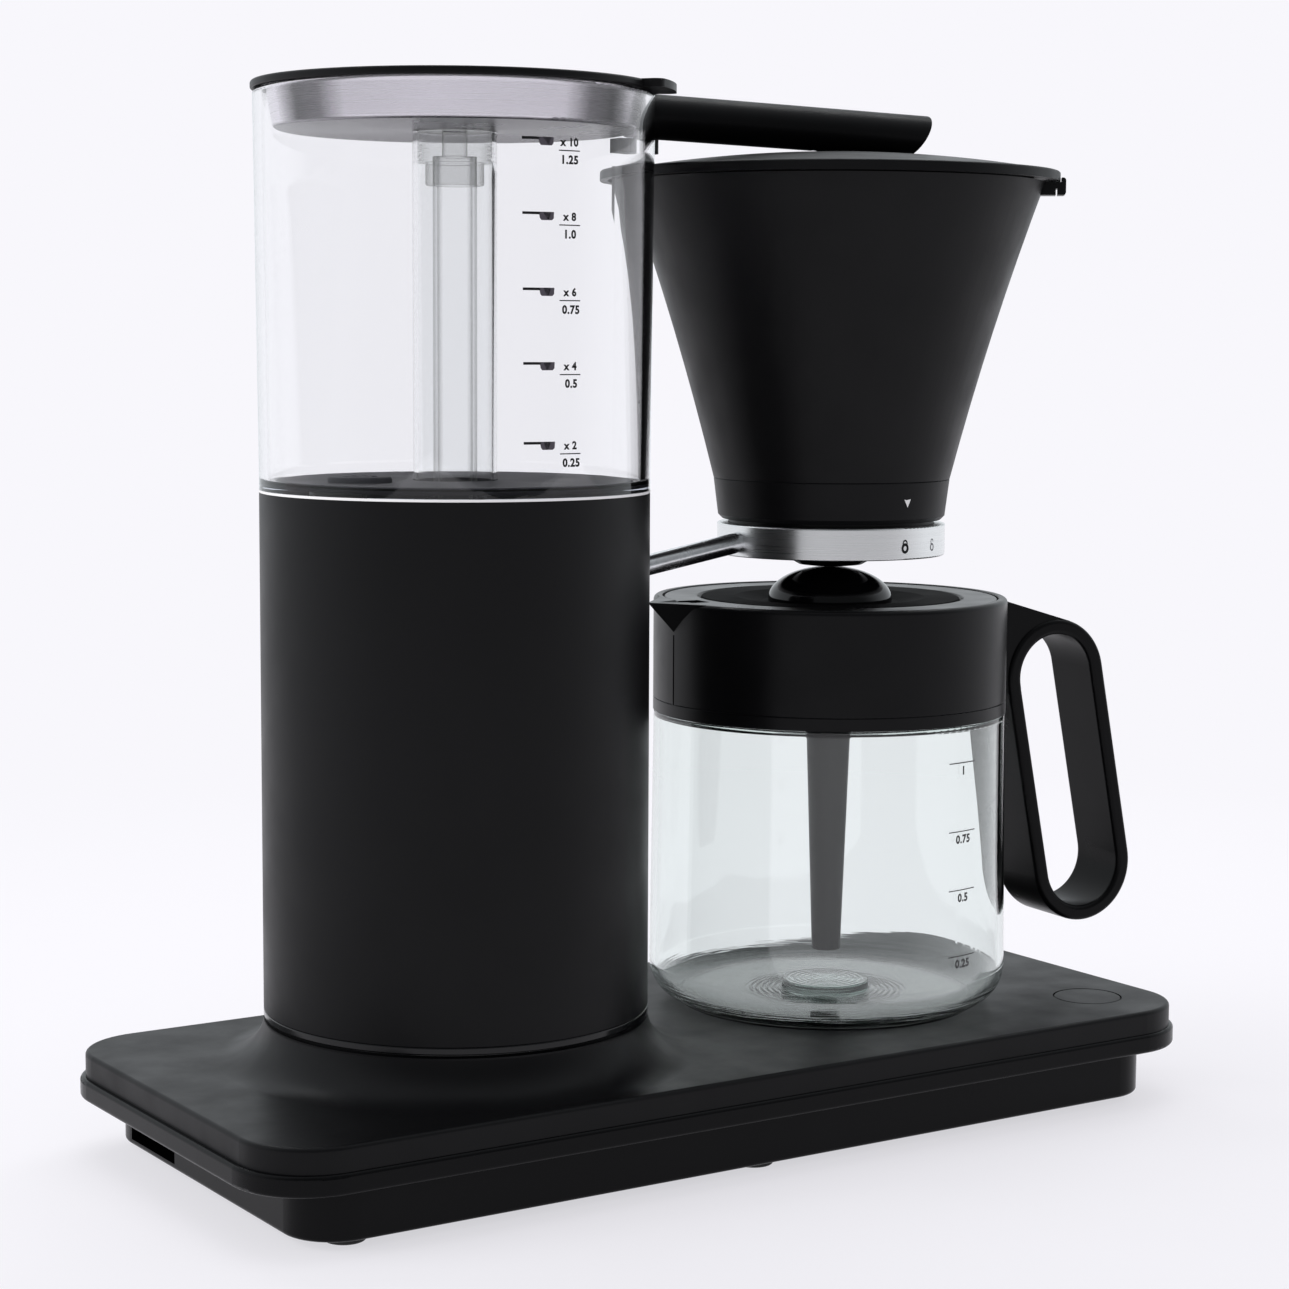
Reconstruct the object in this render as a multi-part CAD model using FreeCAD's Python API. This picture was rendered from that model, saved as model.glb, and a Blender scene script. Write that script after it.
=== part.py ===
"""Filter coffee brewer: a clear water tank on a round tower, a cone filter holder
in a steel ring, and a glass jug on a hotplate, all standing on one long base.

Frame: +X runs along the base from the tower to the jug, -Y is the user's side,
+Z is up. The origin is on the table, under the middle of the whole outline.
Heights named *_z are above the table. Everything is in millimetres.
"""
import FreeCAD, Part
import math
import os
from FreeCAD import Vector

# ---------------------------------------------------------------- outline
overall_height = 345.5
tower_radius = 62.3
cone_lid_radius = 77.0
glass_radius = 62.8
base_end_reach = 106.0

# ---------------------------------------------------------------- base
foot_height = 2.7
foot_radius = 6.5
tray_inset_x = 15.5
tray_inset_y = 6.8
tray_corner = 17.0
tray_height = 16.4
tray_wall = 2.2
rim_corner = 25.5
rim_height = 6.8
rim_wall = 4.0
cover_inset_x = 2.0
cover_inset_y = 1.0
cover_corner = 24.0
cover_height = 7.9
cover_wall = 2.4
edge_round = 1.4
post_radius = 4.2
screw_inset_left = 46.0
screw_inset_right = 56.0
screw_inset_y = 18.5
middle_screw_inset_y = 32.5
foot_inset_x = 33.0
foot_inset_left_y = 18.5
foot_inset_right_y = 30.5
screw_radius = 1.5
screw_play = 0.2
screw_head_radius = 3.0
screw_head_height = 2.0
screw_head_sink = 0.8
cover_screw_reach = 16.0
frame_screw_reach = 14.0
recess_width = 34.0
recess_depth = 15.0
recess_height = 13.4
recess_sill = 2.0
recess_y = 38.0
gland_bore_radius = 3.4
gland_radius = 4.5
gland_flange_radius = 5.1
gland_flange = 2.0
gland_sleeve = 8.0
terminal_length = 16.0
terminal_width = 26.0
terminal_height = 9.0
terminal_distance = 30.0
board_length = 62.0
board_width = 46.0
board_thickness = 1.6
board_lift = 6.0
board_inset = 69.0
board_y = 22.0

# ---------------------------------------------------------------- hotplate and button
hotplate_inset = 11.0
hotplate_rise = 0.3
hotplate_thickness = 1.4
hotplate_skirt = 5.0
hotplate_gap = 0.5
heater_radius = 40.0
heater_tube = 4.5
button_radius = 11.7
button_gap = 0.4
button_travel = 1.5
button_x_inset = 27.7
button_y_inset = 30.0
button_stem_radius = 3.0
button_flange = 1.9
button_guide_depth = 7.0
button_guide_wall = 1.5

# ---------------------------------------------------------------- tower
shell_wall = 1.6
flare_width = 16.2
flare_margin = 2.0
flare_height = 13.2
groove_depth = 1.8
groove_height = 1.0
ring_height = 2.3
collar_lip = 4.3
shell_over_rod = 28.5
deck_thickness = 3.0
deck_skirt = 18.0
frame_wall = 2.0
leg_radius = 4.0
leg_inset = 12.3
boiler_bottom_z = 70.0
boiler_headroom = 36.5
pipe_radius = 7.0
pipe_wall = 1.4
riser_hang = 30.0
hose_wall = 2.2
cold_pipe_radius = 4.0
cold_hose_gap = 5.8
inlet_length = 10.0
inlet_edge = 10.0
outlet_leg_gap = 16.0
outlet_neck_radius = 7.8
check_valve_radius = 9.0
check_valve_length = 34.0

# ---------------------------------------------------------------- tank and its lid
gasket_thickness = 0.5
tank_wall = 2.9
tank_floor = 2.5
mouth_above_arm = 3.9
riser_cover_radius = 13.4
riser_cover_wall = 1.5
riser_cover_gap = 0.5
riser_cap_height = 7.5
cap_collar_radius = 9.3
cap_ribs = 4
cap_rib_pitch = 1.4
cap_rib_depth = 0.5
lid_overhang = 0.7
lid_thickness = 2.5
lid_gap = 0.3
lid_tab_reach = 6.0
lid_tab_start = -55.0
lid_tab_end = -30.0
insert_play = 1.2
insert_taper = 2.2
insert_height = 12.3
insert_wall = 1.0
lid_ring_play = 0.5
lid_ring_height = 1.6
duct_radius = 4.6
duct_wall = 1.3
duct_play = 0.1

# ---------------------------------------------------------------- spray arm
arm_radius = 7.4
arm_wall = 1.6
arm_length = 117.6
arm_tip_slant = 8.7
arm_droop_deg = 1.0
arm_pivot_gap = 8.4
arm_lid_gap = 0.33
spray_hole_radius = 2.2
spray_hole_spacing = 8.0
pivot_pin_radius = 2.0
pivot_pin_height = 4.8
pivot_clearance = 0.05
pivot_lug_radius = 4.5
pivot_lug_height = 4.6
pivot_lug_width = 7.0

# ---------------------------------------------------------------- filter holder
holder_height = 127.7
ring_radius = 39.6
ring_bore_radius = 36.0
ring_depth = 10.8
ring_ledge = 1.9
ring_ledge_radius = 31.0
rod_radius = 3.5
rod_tower_drop = 3.3
rod_ring_rise = 5.0
rod_inside = 27.0
turn_gap = 0.3
collar_gap = 1.4
collar_height = 14.1
collar_bottom_radius = 39.4
collar_chamfer = 1.4
collar_lap = 3.3
spigot_wall = 2.4
cone_foot_radius = 41.0
cone_foot_wall = 5.6
cone_waist_radius = 54.1
cone_waist_drop = 53.8
cone_mouth_radius = 71.9
cone_wall = 2.2
cone_floor_rise = 3.0
cone_floor = 2.5
rib_size = 1.6
rib_spacing_deg = 30
cone_lid_edge = 3.3
cone_lid_wall = 2.0
cone_lid_rise = 6.4
catch_turn = -40.0
catch_width = 9.0
catch_reach = 6.9
catch_height = 4.4
catch_hook_rise = 1.5
catch_slot = 0.6
catch_round = 1.0
valve_seat_radius = 6.5
valve_travel = 4.0
valve_seal_height = 0.8
valve_seat_gap = 0.05
valve_disc = 1.8
valve_stem_radius = 3.0
nose_radius = 18.0
nose_tip_radius = 11.0
nose_tip_rise = 0.5
nose_flat_radius = 6.8
nose_pocket_radius = 1.4
nose_pocket_depth = 3.0
nose_drop = 4.3

# ---------------------------------------------------------------- jug
jug_gap = 0.3
shoulder_step = 1.3
neck_step = 5.3
glass_wall = 2.4
glass_bottom_round = 13.0
glass_button_radius = 15.2
glass_button_rise = 3.6
band_step = 1.1
band_height = 35.5
band_wall = 3.9
band_seam_depth = 0.6
band_seam_width = 0.9
band_round = 1.6
band_over_shoulder = 4.6
lower_ring_height = 4.4
lid_ledge = 4.6
lid_ledge_height = 2.6
lid_rim_play = 0.8
spout_reach = 10.0
spout_half_angle = 16.0
spout_depth = 11.5
spout_half_width = 9.0
spout_channel_share = 0.42
jug_turn = -6.0
handle_width = 26.0
handle_strap = 5.4
handle_loop_width = 30.6
handle_lean = 11.0
handle_reach = 33.1
handle_foot_gap = 20.4
handle_glass_short = 0.2
handle_edge_round = 1.6
handle_screw_rise = 15.0
arm_drop = 0.6
arm_foot_reach = 13.0
arm_inset = 1.0
jug_lid_gap = 0.4
jug_lid_thickness = 3.6
jug_lid_skirt = 7.0
jug_lid_wall = 1.8
lid_groove_radius = 45.7
lid_groove_width = 1.0
lid_groove_depth = 0.9
lid_dish_radius = 33.0
lid_dish_foot = 24.0
lid_dish_depth = 1.8
dome_radius = 21.6
dome_wall = 1.6
dome_stand = 10.2
dome_foot = 0.9
dome_seam_rise = 2.6
dome_hole_radius = 2.6
mixing_top_radius = 8.9
mixing_bottom_radius = 5.0
mixing_rise = 14.3
mixing_wall = 1.1
mixing_socket = 8.0

# ---------------------------------------------------------------- widths that follow
flare_radius = tower_radius + flare_width
collar_bore_radius = tower_radius - collar_lip
leg_circle = tower_radius - leg_inset
tank_outlet_offset = leg_circle - outlet_leg_gap
boiler_radius = tank_outlet_offset - cold_pipe_radius - hose_wall - cold_hose_gap
inlet_offset = boiler_radius - inlet_edge
tank_foot_radius = tower_radius - 0.1
tank_mouth_radius = tower_radius + 1.0
lid_radius = tank_mouth_radius + lid_overhang
lid_tab_radius = lid_radius + lid_tab_reach
insert_radius = tank_mouth_radius - tank_wall - insert_play
insert_foot_radius = insert_radius - insert_taper
hotplate_radius = glass_radius - hotplate_inset
glass_shoulder_radius = glass_radius - shoulder_step
glass_neck_radius = glass_radius - neck_step
band_radius = glass_radius - band_step
band_bore_radius = band_radius - band_wall
handle_middle_reach = band_radius + handle_reach
axis_spacing = lid_tab_radius + cone_lid_radius + 3.0
tower_x = -axis_spacing / 2
jug_x = axis_spacing / 2
pivot_x = tower_x + tank_mouth_radius + arm_pivot_gap
outlet_x = tower_x - tank_outlet_offset
rim_length = axis_spacing + 2 * base_end_reach
rim_width = 2 * (flare_radius + flare_margin)
cover_length = rim_length - 2 * cover_inset_x
cover_width = rim_width - 2 * cover_inset_y
tray_length = rim_length - 2 * tray_inset_x
tray_width = rim_width - 2 * tray_inset_y
spigot_radius = ring_bore_radius - turn_gap

# ---------------------------------------------------------------- heights that follow
tray_top_z = foot_height + tray_height
tray_floor_z = foot_height + tray_wall
rim_top_z = tray_top_z + rim_height
cover_top_z = rim_top_z + cover_height
cover_under_z = cover_top_z - cover_wall
lip_z = cover_top_z + flare_height
ring_foot_z = lip_z + groove_height
shell_foot_z = ring_foot_z + ring_height
flange_foot_z = shell_foot_z - 2.0
arm_centre_z = overall_height - arm_radius
tank_top_z = arm_centre_z + mouth_above_arm
lid_under_z = tank_top_z + lid_gap
lid_top_z = lid_under_z + lid_thickness
insert_bottom_z = lid_under_z - insert_height
riser_cover_top_z = insert_bottom_z - riser_cover_gap
riser_top_z = riser_cover_top_z - riser_cap_height
duct_z = arm_centre_z - 0.6
lug_top_z = arm_centre_z - arm_radius - turn_gap
lug_foot_z = lug_top_z - pivot_lug_height
arm_slope = math.radians(arm_droop_deg)
arm_under_z = arm_centre_z - (jug_x - pivot_x) * math.tan(arm_slope) - arm_radius / math.cos(arm_slope)
cone_lid_apex_z = arm_under_z - arm_lid_gap
cone_lid_edge_z = cone_lid_apex_z - cone_lid_rise
cone_lid_foot_z = cone_lid_edge_z - cone_lid_edge
cone_mouth_z = cone_lid_foot_z - lid_gap
cone_waist_z = cone_mouth_z - cone_waist_drop
ring_bottom_z = cone_mouth_z - holder_height
rod_tower_z = ring_bottom_z - rod_tower_drop
rod_ring_z = ring_bottom_z + rod_ring_rise
shell_top_z = rod_tower_z + shell_over_rod
deck_z = shell_top_z - deck_thickness
valve_body_z = deck_z - 4.0
valve_foot_z = valve_body_z - check_valve_length
riser_foot_z = shell_top_z - riser_hang
boiler_top_z = riser_foot_z - boiler_headroom
boiler_height = boiler_top_z - boiler_bottom_z
tank_foot_z = shell_top_z + gasket_thickness
tank_floor_z = tank_foot_z + tank_floor
collar_foot_z = ring_bottom_z + ring_depth + collar_gap
collar_top_z = collar_foot_z + collar_height
spigot_foot_z = ring_bottom_z + ring_ledge + turn_gap
cone_floor_z = collar_foot_z + cone_floor_rise
cone_floor_top_z = cone_floor_z + cone_floor
nose_tip_z = ring_bottom_z - nose_drop
nose_top_z = spigot_foot_z + 0.6
valve_disc_z = cone_floor_top_z + valve_seal_height + valve_seat_gap + valve_travel
dome_apex_z = nose_tip_z - jug_gap
band_top_z = dome_apex_z - dome_stand
band_bottom_z = band_top_z - band_height
glass_shoulder_z = band_bottom_z - band_over_shoulder
neck_foot_z = glass_shoulder_z + 3.0
hotplate_top_z = cover_top_z + hotplate_rise
glass_foot_z = hotplate_top_z + jug_gap
glass_floor_z = glass_foot_z + glass_wall
lid_seat_z = band_top_z - jug_lid_thickness - jug_gap - 0.3
mouth_z = lid_seat_z - lid_ledge_height
mixing_bottom_z = glass_floor_z + mixing_rise
handle_screw_z = band_bottom_z + handle_screw_rise
handle_outer = handle_loop_width / 2 + handle_strap
handle_loop_height = glass_shoulder_z - glass_foot_z - handle_glass_short
handle_straight = (handle_loop_height - handle_loop_width) / 2
handle_slope = math.radians(handle_lean)
handle_middle_z = cover_top_z + handle_foot_gap + handle_straight * math.cos(handle_slope) + handle_outer

# ---------------------------------------------------------------- middle of the outline
jug_slope = math.radians(jug_turn)
handle_tip = handle_middle_reach + handle_straight * math.sin(handle_slope) + handle_outer
handle_tip_x = (jug_x + handle_tip * math.cos(jug_slope)
                + handle_width / 2 * abs(math.sin(jug_slope)))
outline_shift_x = (handle_tip_x - rim_length / 2) / 2

# a height over everything, for cuts that run out through the top
above = 2 * overall_height


# ---------------------------------------------------------------- helpers
def rod(radius, low, high, x=0.0, y=0.0):
    """Upright cylinder between two heights."""
    return Part.makeCylinder(radius, high - low, Vector(x, y, low))


def tube(outer, inner, low, high, x=0.0, y=0.0):
    """Upright tube between two heights."""
    return rod(outer, low, high, x, y).cut(rod(inner, low - 1, high + 1, x, y))


def bar(radius, start, end):
    """Cylinder from one point to another."""
    along = end - start
    return Part.makeCylinder(radius, along.Length, start, along)


def block(length, width, low, high, x=0.0, y=0.0):
    """Box centred on (x, y) between two heights."""
    corner = Vector(x - length / 2, y - width / 2, low)
    return Part.makeBox(length, width, high - low, corner)


def slab(length, width, corner, low, high, top_round=0.0, bottom_round=0.0):
    """Box on the base's centre with rounded upright corners and optional rounded rims."""
    body = block(length, width, low, high)
    upright = [edge for edge in body.Edges if abs(edge.tangentAt(edge.FirstParameter).z) > 0.9]
    body = body.makeFillet(corner, upright)
    for level, radius in ((high, top_round), (low, bottom_round)):
        if radius > 0:
            around = [edge for edge in body.Edges
                      if abs(edge.BoundBox.ZMin - level) < 1e-4 and abs(edge.BoundBox.ZMax - level) < 1e-4]
            body = body.makeFillet(radius, around)
    return body


def outline(points):
    """Closed wire in the XZ plane; a point (x, z, r) has its corner rounded to radius r."""
    corners = [Vector(point[0], 0, point[1]) for point in points]
    ends = []
    for index, point in enumerate(points):
        here = corners[index]
        if len(point) < 3:
            ends.append((here, here, None))
            continue
        back = (corners[index - 1] - here).normalize()
        ahead = (corners[(index + 1) % len(corners)] - here).normalize()
        half = back.getAngle(ahead) / 2
        reach = point[2] / math.tan(half)
        towards = (back + ahead).normalize()
        middle = here + towards * (point[2] / math.sin(half) - point[2])
        ends.append((here + back * reach, here + ahead * reach, middle))
    edges = []
    for index, (enter, leave, middle) in enumerate(ends):
        if middle is not None:
            edges.append(Part.Arc(enter, middle, leave).toShape())
        following = ends[(index + 1) % len(ends)][0]
        if (following - leave).Length > 1e-6:
            edges.append(Part.LineSegment(leave, following).toShape())
    return Part.Wire(edges)


def curved_outline(start, steps):
    """Closed wire in the XZ plane from (x, z) ends and (x, z, x, z) arc middles and ends."""
    edges = []
    here = Vector(start[0], 0, start[1])
    for step in steps + [start]:
        end = Vector(step[-2], 0, step[-1])
        if (end - here).Length < 1e-6:
            continue
        if len(step) == 4:
            middle = Vector(step[0], 0, step[1])
            edges.append(Part.Arc(here, middle, end).toShape())
        else:
            edges.append(Part.LineSegment(here, end).toShape())
        here = end
    return Part.Wire(edges)


def turned(wire, x=0.0, y=0.0):
    """Solid of revolution about the upright axis through (x, y)."""
    solid = Part.Face(wire).revolve(Vector(0, 0, 0), Vector(0, 0, 1), 360)
    solid.translate(Vector(x, y, 0))
    return solid


def fused(first, *others):
    """One solid from touching or overlapping ones."""
    return first.multiFuse(list(others)).removeSplitter()


def coil(radius, wire_radius, turns, low, high, x, y):
    """Compression spring about an upright axis, its helix in short straight runs."""
    sides = 14
    first_z = low + wire_radius
    pitch = (high - low - 2 * wire_radius) / turns
    points = []
    for step in range(turns * sides + 1):
        angle = 2 * math.pi * step / sides
        points.append(Vector(x + radius * math.cos(angle), y + radius * math.sin(angle),
                             first_z + pitch * step / sides))
    spine = Part.makePolygon(points)
    profile = Part.Wire([Part.makeCircle(wire_radius, points[0], points[1] - points[0])])
    mitred = 1
    return spine.makePipeShell([profile], True, False, mitred)


def save(name, *shapes):
    """Write one node; several shapes are one group of separate solids."""
    solids = [solid for shape in shapes for solid in shape.Solids]
    if len(solids) != len(shapes):
        raise ValueError("%s has %d solids for %d shapes" % (name, len(solids), len(shapes)))
    node = solids[0].copy() if len(solids) == 1 else Part.makeCompound(solids)
    node.translate(Vector(-outline_shift_x, 0, 0))
    if not node.isValid():
        raise ValueError("%s is not a valid shape" % name)
    node.exportStep("parts/%s.step" % name)
    print("%-22s %2d solid(s) %10.1f mm3" % (name, len(solids), node.Volume))


# ---------------------------------------------------------------- base
base_end_x = rim_length / 2
base_side_y = rim_width / 2
screw_y = base_side_y - screw_inset_y
middle_screw_y = base_side_y - middle_screw_inset_y
screw_places = [(x, y) for x in (screw_inset_left - base_end_x, base_end_x - screw_inset_right)
                for y in (-screw_y, screw_y)] + [(0.0, -middle_screw_y), (0.0, middle_screw_y)]
foot_left_y = base_side_y - foot_inset_left_y
foot_right_y = base_side_y - foot_inset_right_y
foot_places = [(x, y) for x in (foot_inset_x - base_end_x, 0.0) for y in (-foot_left_y, foot_left_y)]
foot_places += [(base_end_x - foot_inset_x, -foot_right_y), (base_end_x - foot_inset_x, foot_right_y)]
board_x = base_end_x - board_inset
board_z = tray_floor_z + board_lift
button_x = base_end_x - button_x_inset
button_y = button_y_inset - base_side_y
gland_x = -tray_length / 2 + recess_depth
gland_z = foot_height + (recess_sill + recess_height) / 2


def board_corners():
    """Centres of the four posts under the control board."""
    reach_x = board_length / 2 - 6
    reach_y = board_width / 2 - 6
    return [(board_x + sx * reach_x, board_y + sy * reach_y) for sx in (-1, 1) for sy in (-1, 1)]


def base_tray():
    """Lower box with its wider rim, a cord recess, board posts and screw holes."""
    floor_z = foot_height
    tray_end_x = -tray_length / 2
    body = fused(
        slab(tray_length, tray_width, tray_corner, floor_z, tray_top_z + 1, 0, edge_round),
        slab(rim_length, rim_width, rim_corner, tray_top_z, rim_top_z, edge_round, edge_round))
    body = body.cut(slab(tray_length - 2 * tray_wall, tray_width - 2 * tray_wall, tray_corner - tray_wall,
                         tray_floor_z, above))
    body = body.cut(slab(rim_length - 2 * rim_wall, rim_width - 2 * rim_wall, rim_corner - rim_wall,
                         tray_top_z + tray_wall, above))
    lining = recess_depth + tray_wall
    body = fused(body, block(lining, recess_width + 2 * tray_wall, floor_z + 0.5,
                             floor_z + recess_height + tray_wall, tray_end_x + lining / 2 + 0.5, recess_y))
    body = body.cut(block(recess_depth * 2, recess_width, floor_z + recess_sill, floor_z + recess_height,
                          tray_end_x, recess_y))
    body = body.cut(bar(gland_radius, Vector(tray_end_x, recess_y, gland_z),
                        Vector(gland_x + 2 * lining, recess_y, gland_z)))
    posts = [rod(post_radius, tray_floor_z - 0.2, board_z, x, y) for x, y in board_corners()]
    body = fused(body, *posts)
    for x, y in screw_places:
        body = body.cut(rod(screw_radius + screw_play, 0, tray_floor_z + 1, x, y))
        body = body.cut(rod(screw_head_radius + screw_play, 0, floor_z + screw_head_sink, x, y))
    return body


def feet():
    """Six rubber feet under the tray."""
    wire = outline([(0, 0), (foot_radius, 0, 0.8), (foot_radius, foot_height), (0, foot_height)])
    return [turned(wire, x, y) for x, y in foot_places]


def base_screws():
    """Screws up through the tray floor into the cover's posts."""
    seat_z = foot_height + screw_head_sink
    head_z = seat_z - screw_head_height
    screws = []
    for x, y in screw_places:
        head = rod(screw_head_radius, head_z, seat_z, x, y)
        slot = block(screw_head_radius * 1.4, 0.7, head_z - 1, head_z + 0.8, x, y)
        shank = rod(screw_radius, head_z + 1, foot_height + cover_screw_reach, x, y)
        screws.append(fused(head, shank).cut(slot))
    return screws


def base_cover():
    """Top cover: skirted plate with openings for the tower, the hotplate and the button."""
    plate = slab(cover_length, cover_width, cover_corner, rim_top_z, cover_top_z, edge_round)
    plate = plate.cut(slab(cover_length - 2 * cover_wall, cover_width - 2 * cover_wall,
                           cover_corner - cover_wall, 0, cover_under_z))
    plate = plate.cut(rod(flare_radius, 0, above, tower_x))
    seat_radius = hotplate_radius + hotplate_gap
    ledge_z = hotplate_top_z - hotplate_skirt - 1.0
    guide_bore = button_radius + 2.5
    guide_floor_z = cover_under_z - button_guide_depth
    ledge = tube(seat_radius + 3, seat_radius - 3, ledge_z - 2, cover_under_z + 0.2, jug_x)
    guide = tube(guide_bore + button_guide_wall, button_stem_radius + 0.4, guide_floor_z - button_guide_wall,
                 cover_under_z + 0.2, button_x, button_y)
    posts = [rod(post_radius, tray_floor_z, cover_under_z + 0.2, x, y) for x, y in screw_places]
    cover = fused(plate, ledge, guide, *posts)
    cover = cover.cut(rod(seat_radius, ledge_z, above, jug_x))
    cover = cover.cut(rod(guide_bore, guide_floor_z, cover_under_z, button_x, button_y))
    cover = cover.cut(rod(button_radius + button_gap, cover_under_z - 0.1, above, button_x, button_y))
    for x, y in screw_places:
        cover = cover.cut(rod(screw_radius, 0, foot_height + cover_screw_reach + 0.5, x, y))
    return cover


def tower_collar():
    """Concave flare welded into the cover, up to the lip that carries the tower."""
    drop = math.sqrt(0.5)
    outer_middle = (flare_radius - flare_width * drop, lip_z - flare_height * drop)
    inner_foot = flare_radius - cover_wall - 0.8
    inner_lip = tower_radius - cover_wall
    inner_middle = (outer_middle[0] - cover_wall * drop, outer_middle[1] - cover_wall * drop)
    wire = curved_outline(
        (flare_radius, cover_top_z),
        [(outer_middle[0], outer_middle[1], tower_radius, lip_z - 0.6),
         (tower_radius, lip_z),
         (collar_bore_radius, lip_z),
         (collar_bore_radius, lip_z - cover_wall),
         (inner_lip, lip_z - cover_wall),
         (inner_middle[0], inner_middle[1], inner_foot, cover_under_z + 0.3),
         (inner_foot, cover_under_z),
         (flare_radius, cover_under_z)])
    return turned(wire, tower_x)


def cord_gland():
    """Rubber inlet in the recess wall; its bore takes the supply cord."""
    centre = Vector(gland_x, recess_y, gland_z)
    front = Vector(gland_x - gland_flange, recess_y, gland_z)
    back = Vector(gland_x + tray_wall + gland_sleeve, recess_y, gland_z)
    body = fused(bar(gland_flange_radius, front, centre), bar(gland_radius, centre, back))
    return body.cut(bar(gland_bore_radius, front, back))


def terminal_block():
    """Mains terminals on the tray floor behind the gland."""
    x = gland_x + terminal_distance
    wire_z = tray_floor_z + terminal_height * 0.55
    top_z = tray_floor_z + terminal_height
    body = block(terminal_length, terminal_width, tray_floor_z, top_z, x, recess_y)
    for offset in (-1, 0, 1):
        y = recess_y + offset * terminal_width * 0.31
        body = body.cut(bar(1.6, Vector(x - terminal_length, y, wire_z), Vector(x + terminal_length, y, wire_z)))
        body = body.cut(rod(2.0, top_z - 3.0, above, x, y))
    return body


def control_board():
    """Circuit board with its relay, supply block and capacitor soldered on."""
    top = board_z + board_thickness
    board = block(board_length, board_width, board_z, top, board_x, board_y)
    relay = block(18, 12, top - 0.1, top + 7, board_x - 14, board_y + 8)
    supply = block(14, 14, top - 0.1, top + 6, board_x + 8, board_y - 4)
    capacitor = rod(4, top - 0.1, top + 7, board_x - 8, board_y - 9)
    return fused(board, relay, supply, capacitor)


def button_parts():
    """Power button, its return spring and the switch below it."""
    flange_z = cover_under_z - button_gap - button_flange
    guide_floor_z = cover_under_z - button_guide_depth
    stem_z = guide_floor_z - button_guide_wall - 2.5
    cap = rod(button_radius, flange_z, cover_top_z, button_x, button_y)
    flange = rod(button_radius + 2.0, flange_z, flange_z + button_flange, button_x, button_y)
    stem = rod(button_stem_radius, stem_z, flange_z + 0.5, button_x, button_y)
    button = fused(cap, flange, stem)
    rim = [edge for edge in button.Edges
           if abs(edge.BoundBox.ZMin - cover_top_z) < 1e-4 and abs(edge.BoundBox.ZMax - cover_top_z) < 1e-4]
    button = button.makeFillet(0.5, rim)
    spring = coil(2 * button_stem_radius, 0.4, 3, guide_floor_z, flange_z, button_x, button_y)
    plunger_z = stem_z - button_travel - 0.3
    switch = fused(block(14, 11, tray_floor_z, plunger_z - 1.5, button_x, button_y),
                   rod(2.0, plunger_z - 1.6, plunger_z, button_x, button_y))
    return button, spring, switch


def hotplate_parts():
    """Steel plate with its gasket, ring heater, thermostat and clamp bar."""
    skirt_z = hotplate_top_z - hotplate_skirt
    under_z = hotplate_top_z - hotplate_thickness
    plate = turned(outline([
        (0, hotplate_top_z), (hotplate_radius, hotplate_top_z, 1.2), (hotplate_radius, skirt_z),
        (hotplate_radius - hotplate_thickness, skirt_z), (hotplate_radius - hotplate_thickness, under_z),
        (0, under_z)]), jug_x)
    gasket = tube(hotplate_radius, hotplate_radius - 2.5, skirt_z - 1.0, skirt_z, jug_x)
    heater = turned(outline([
        (heater_radius - heater_tube, under_z), (heater_radius + heater_tube, under_z),
        (heater_radius + heater_tube, under_z - heater_tube * 1.6, 3.0),
        (heater_radius - heater_tube, under_z - heater_tube * 1.6, 3.0)]), jug_x)
    heater = heater.cut(block(4 * heater_tube, 14, 0, above, jug_x + heater_radius))
    thermostat = fused(rod(7.5, under_z - 4.5, under_z, jug_x), rod(9.5, under_z - 5.5, under_z - 3.5, jug_x))
    clamp_z = under_z - heater_tube * 1.6
    clamp = block(14, 2 * (heater_radius + heater_tube), clamp_z - 1.5, clamp_z, jug_x, 0)
    clamp = clamp.cut(rod(10.5, 0, above, jug_x))
    bridge = block(14, 24, clamp_z - 3.5, clamp_z - 1.4, jug_x, 0)
    return plate, gasket, heater, thermostat, fused(clamp, bridge)


# ---------------------------------------------------------------- tower
leg_places = [(tower_x + leg_circle * math.cos(math.radians(turn)), leg_circle * math.sin(math.radians(turn)))
              for turn in (60, 180, 300)]


def tower_ring():
    """Gloss ring under the shell, with the shadow groove and the frame's flange."""
    flange_bore = leg_circle - 6.0
    sleeve = collar_bore_radius - 0.2
    ring = turned(outline([
        (flange_bore, flange_foot_z), (sleeve - 1.8, flange_foot_z), (sleeve - 1.8, lip_z - 6.0),
        (sleeve, lip_z - 6.0), (sleeve, lip_z), (tower_radius - groove_depth, lip_z),
        (tower_radius - groove_depth, ring_foot_z), (tower_radius, ring_foot_z, 0.4),
        (tower_radius, shell_foot_z, 0.4), (flange_bore, shell_foot_z)]), tower_x)
    for x, y in leg_places:
        ring = ring.cut(rod(screw_radius + screw_play, 0, above, x, y))
    return ring


def rod_line():
    """Axis of the rod that carries the holder's ring, from its socket to the ring."""
    tower_wall_x = tower_x + tower_radius
    ring_wall_x = jug_x - ring_radius
    slope = (rod_ring_z - rod_tower_z) / (ring_wall_x - tower_wall_x)
    past_wall = 8.0
    return (Vector(tower_wall_x - rod_inside, 0, rod_tower_z - rod_inside * slope),
            Vector(ring_wall_x + past_wall, 0, rod_ring_z + past_wall * slope))


def tower_shell():
    """Matt outer can with the hole that the holder's rod comes out of."""
    shell = turned(outline([
        (tower_radius - shell_wall, shell_foot_z), (tower_radius, shell_foot_z, 0.3),
        (tower_radius, shell_top_z, 0.3), (tower_radius - shell_wall, shell_top_z)]), tower_x)
    return shell.cut(bar(rod_radius + 0.3, *rod_line()))


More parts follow.
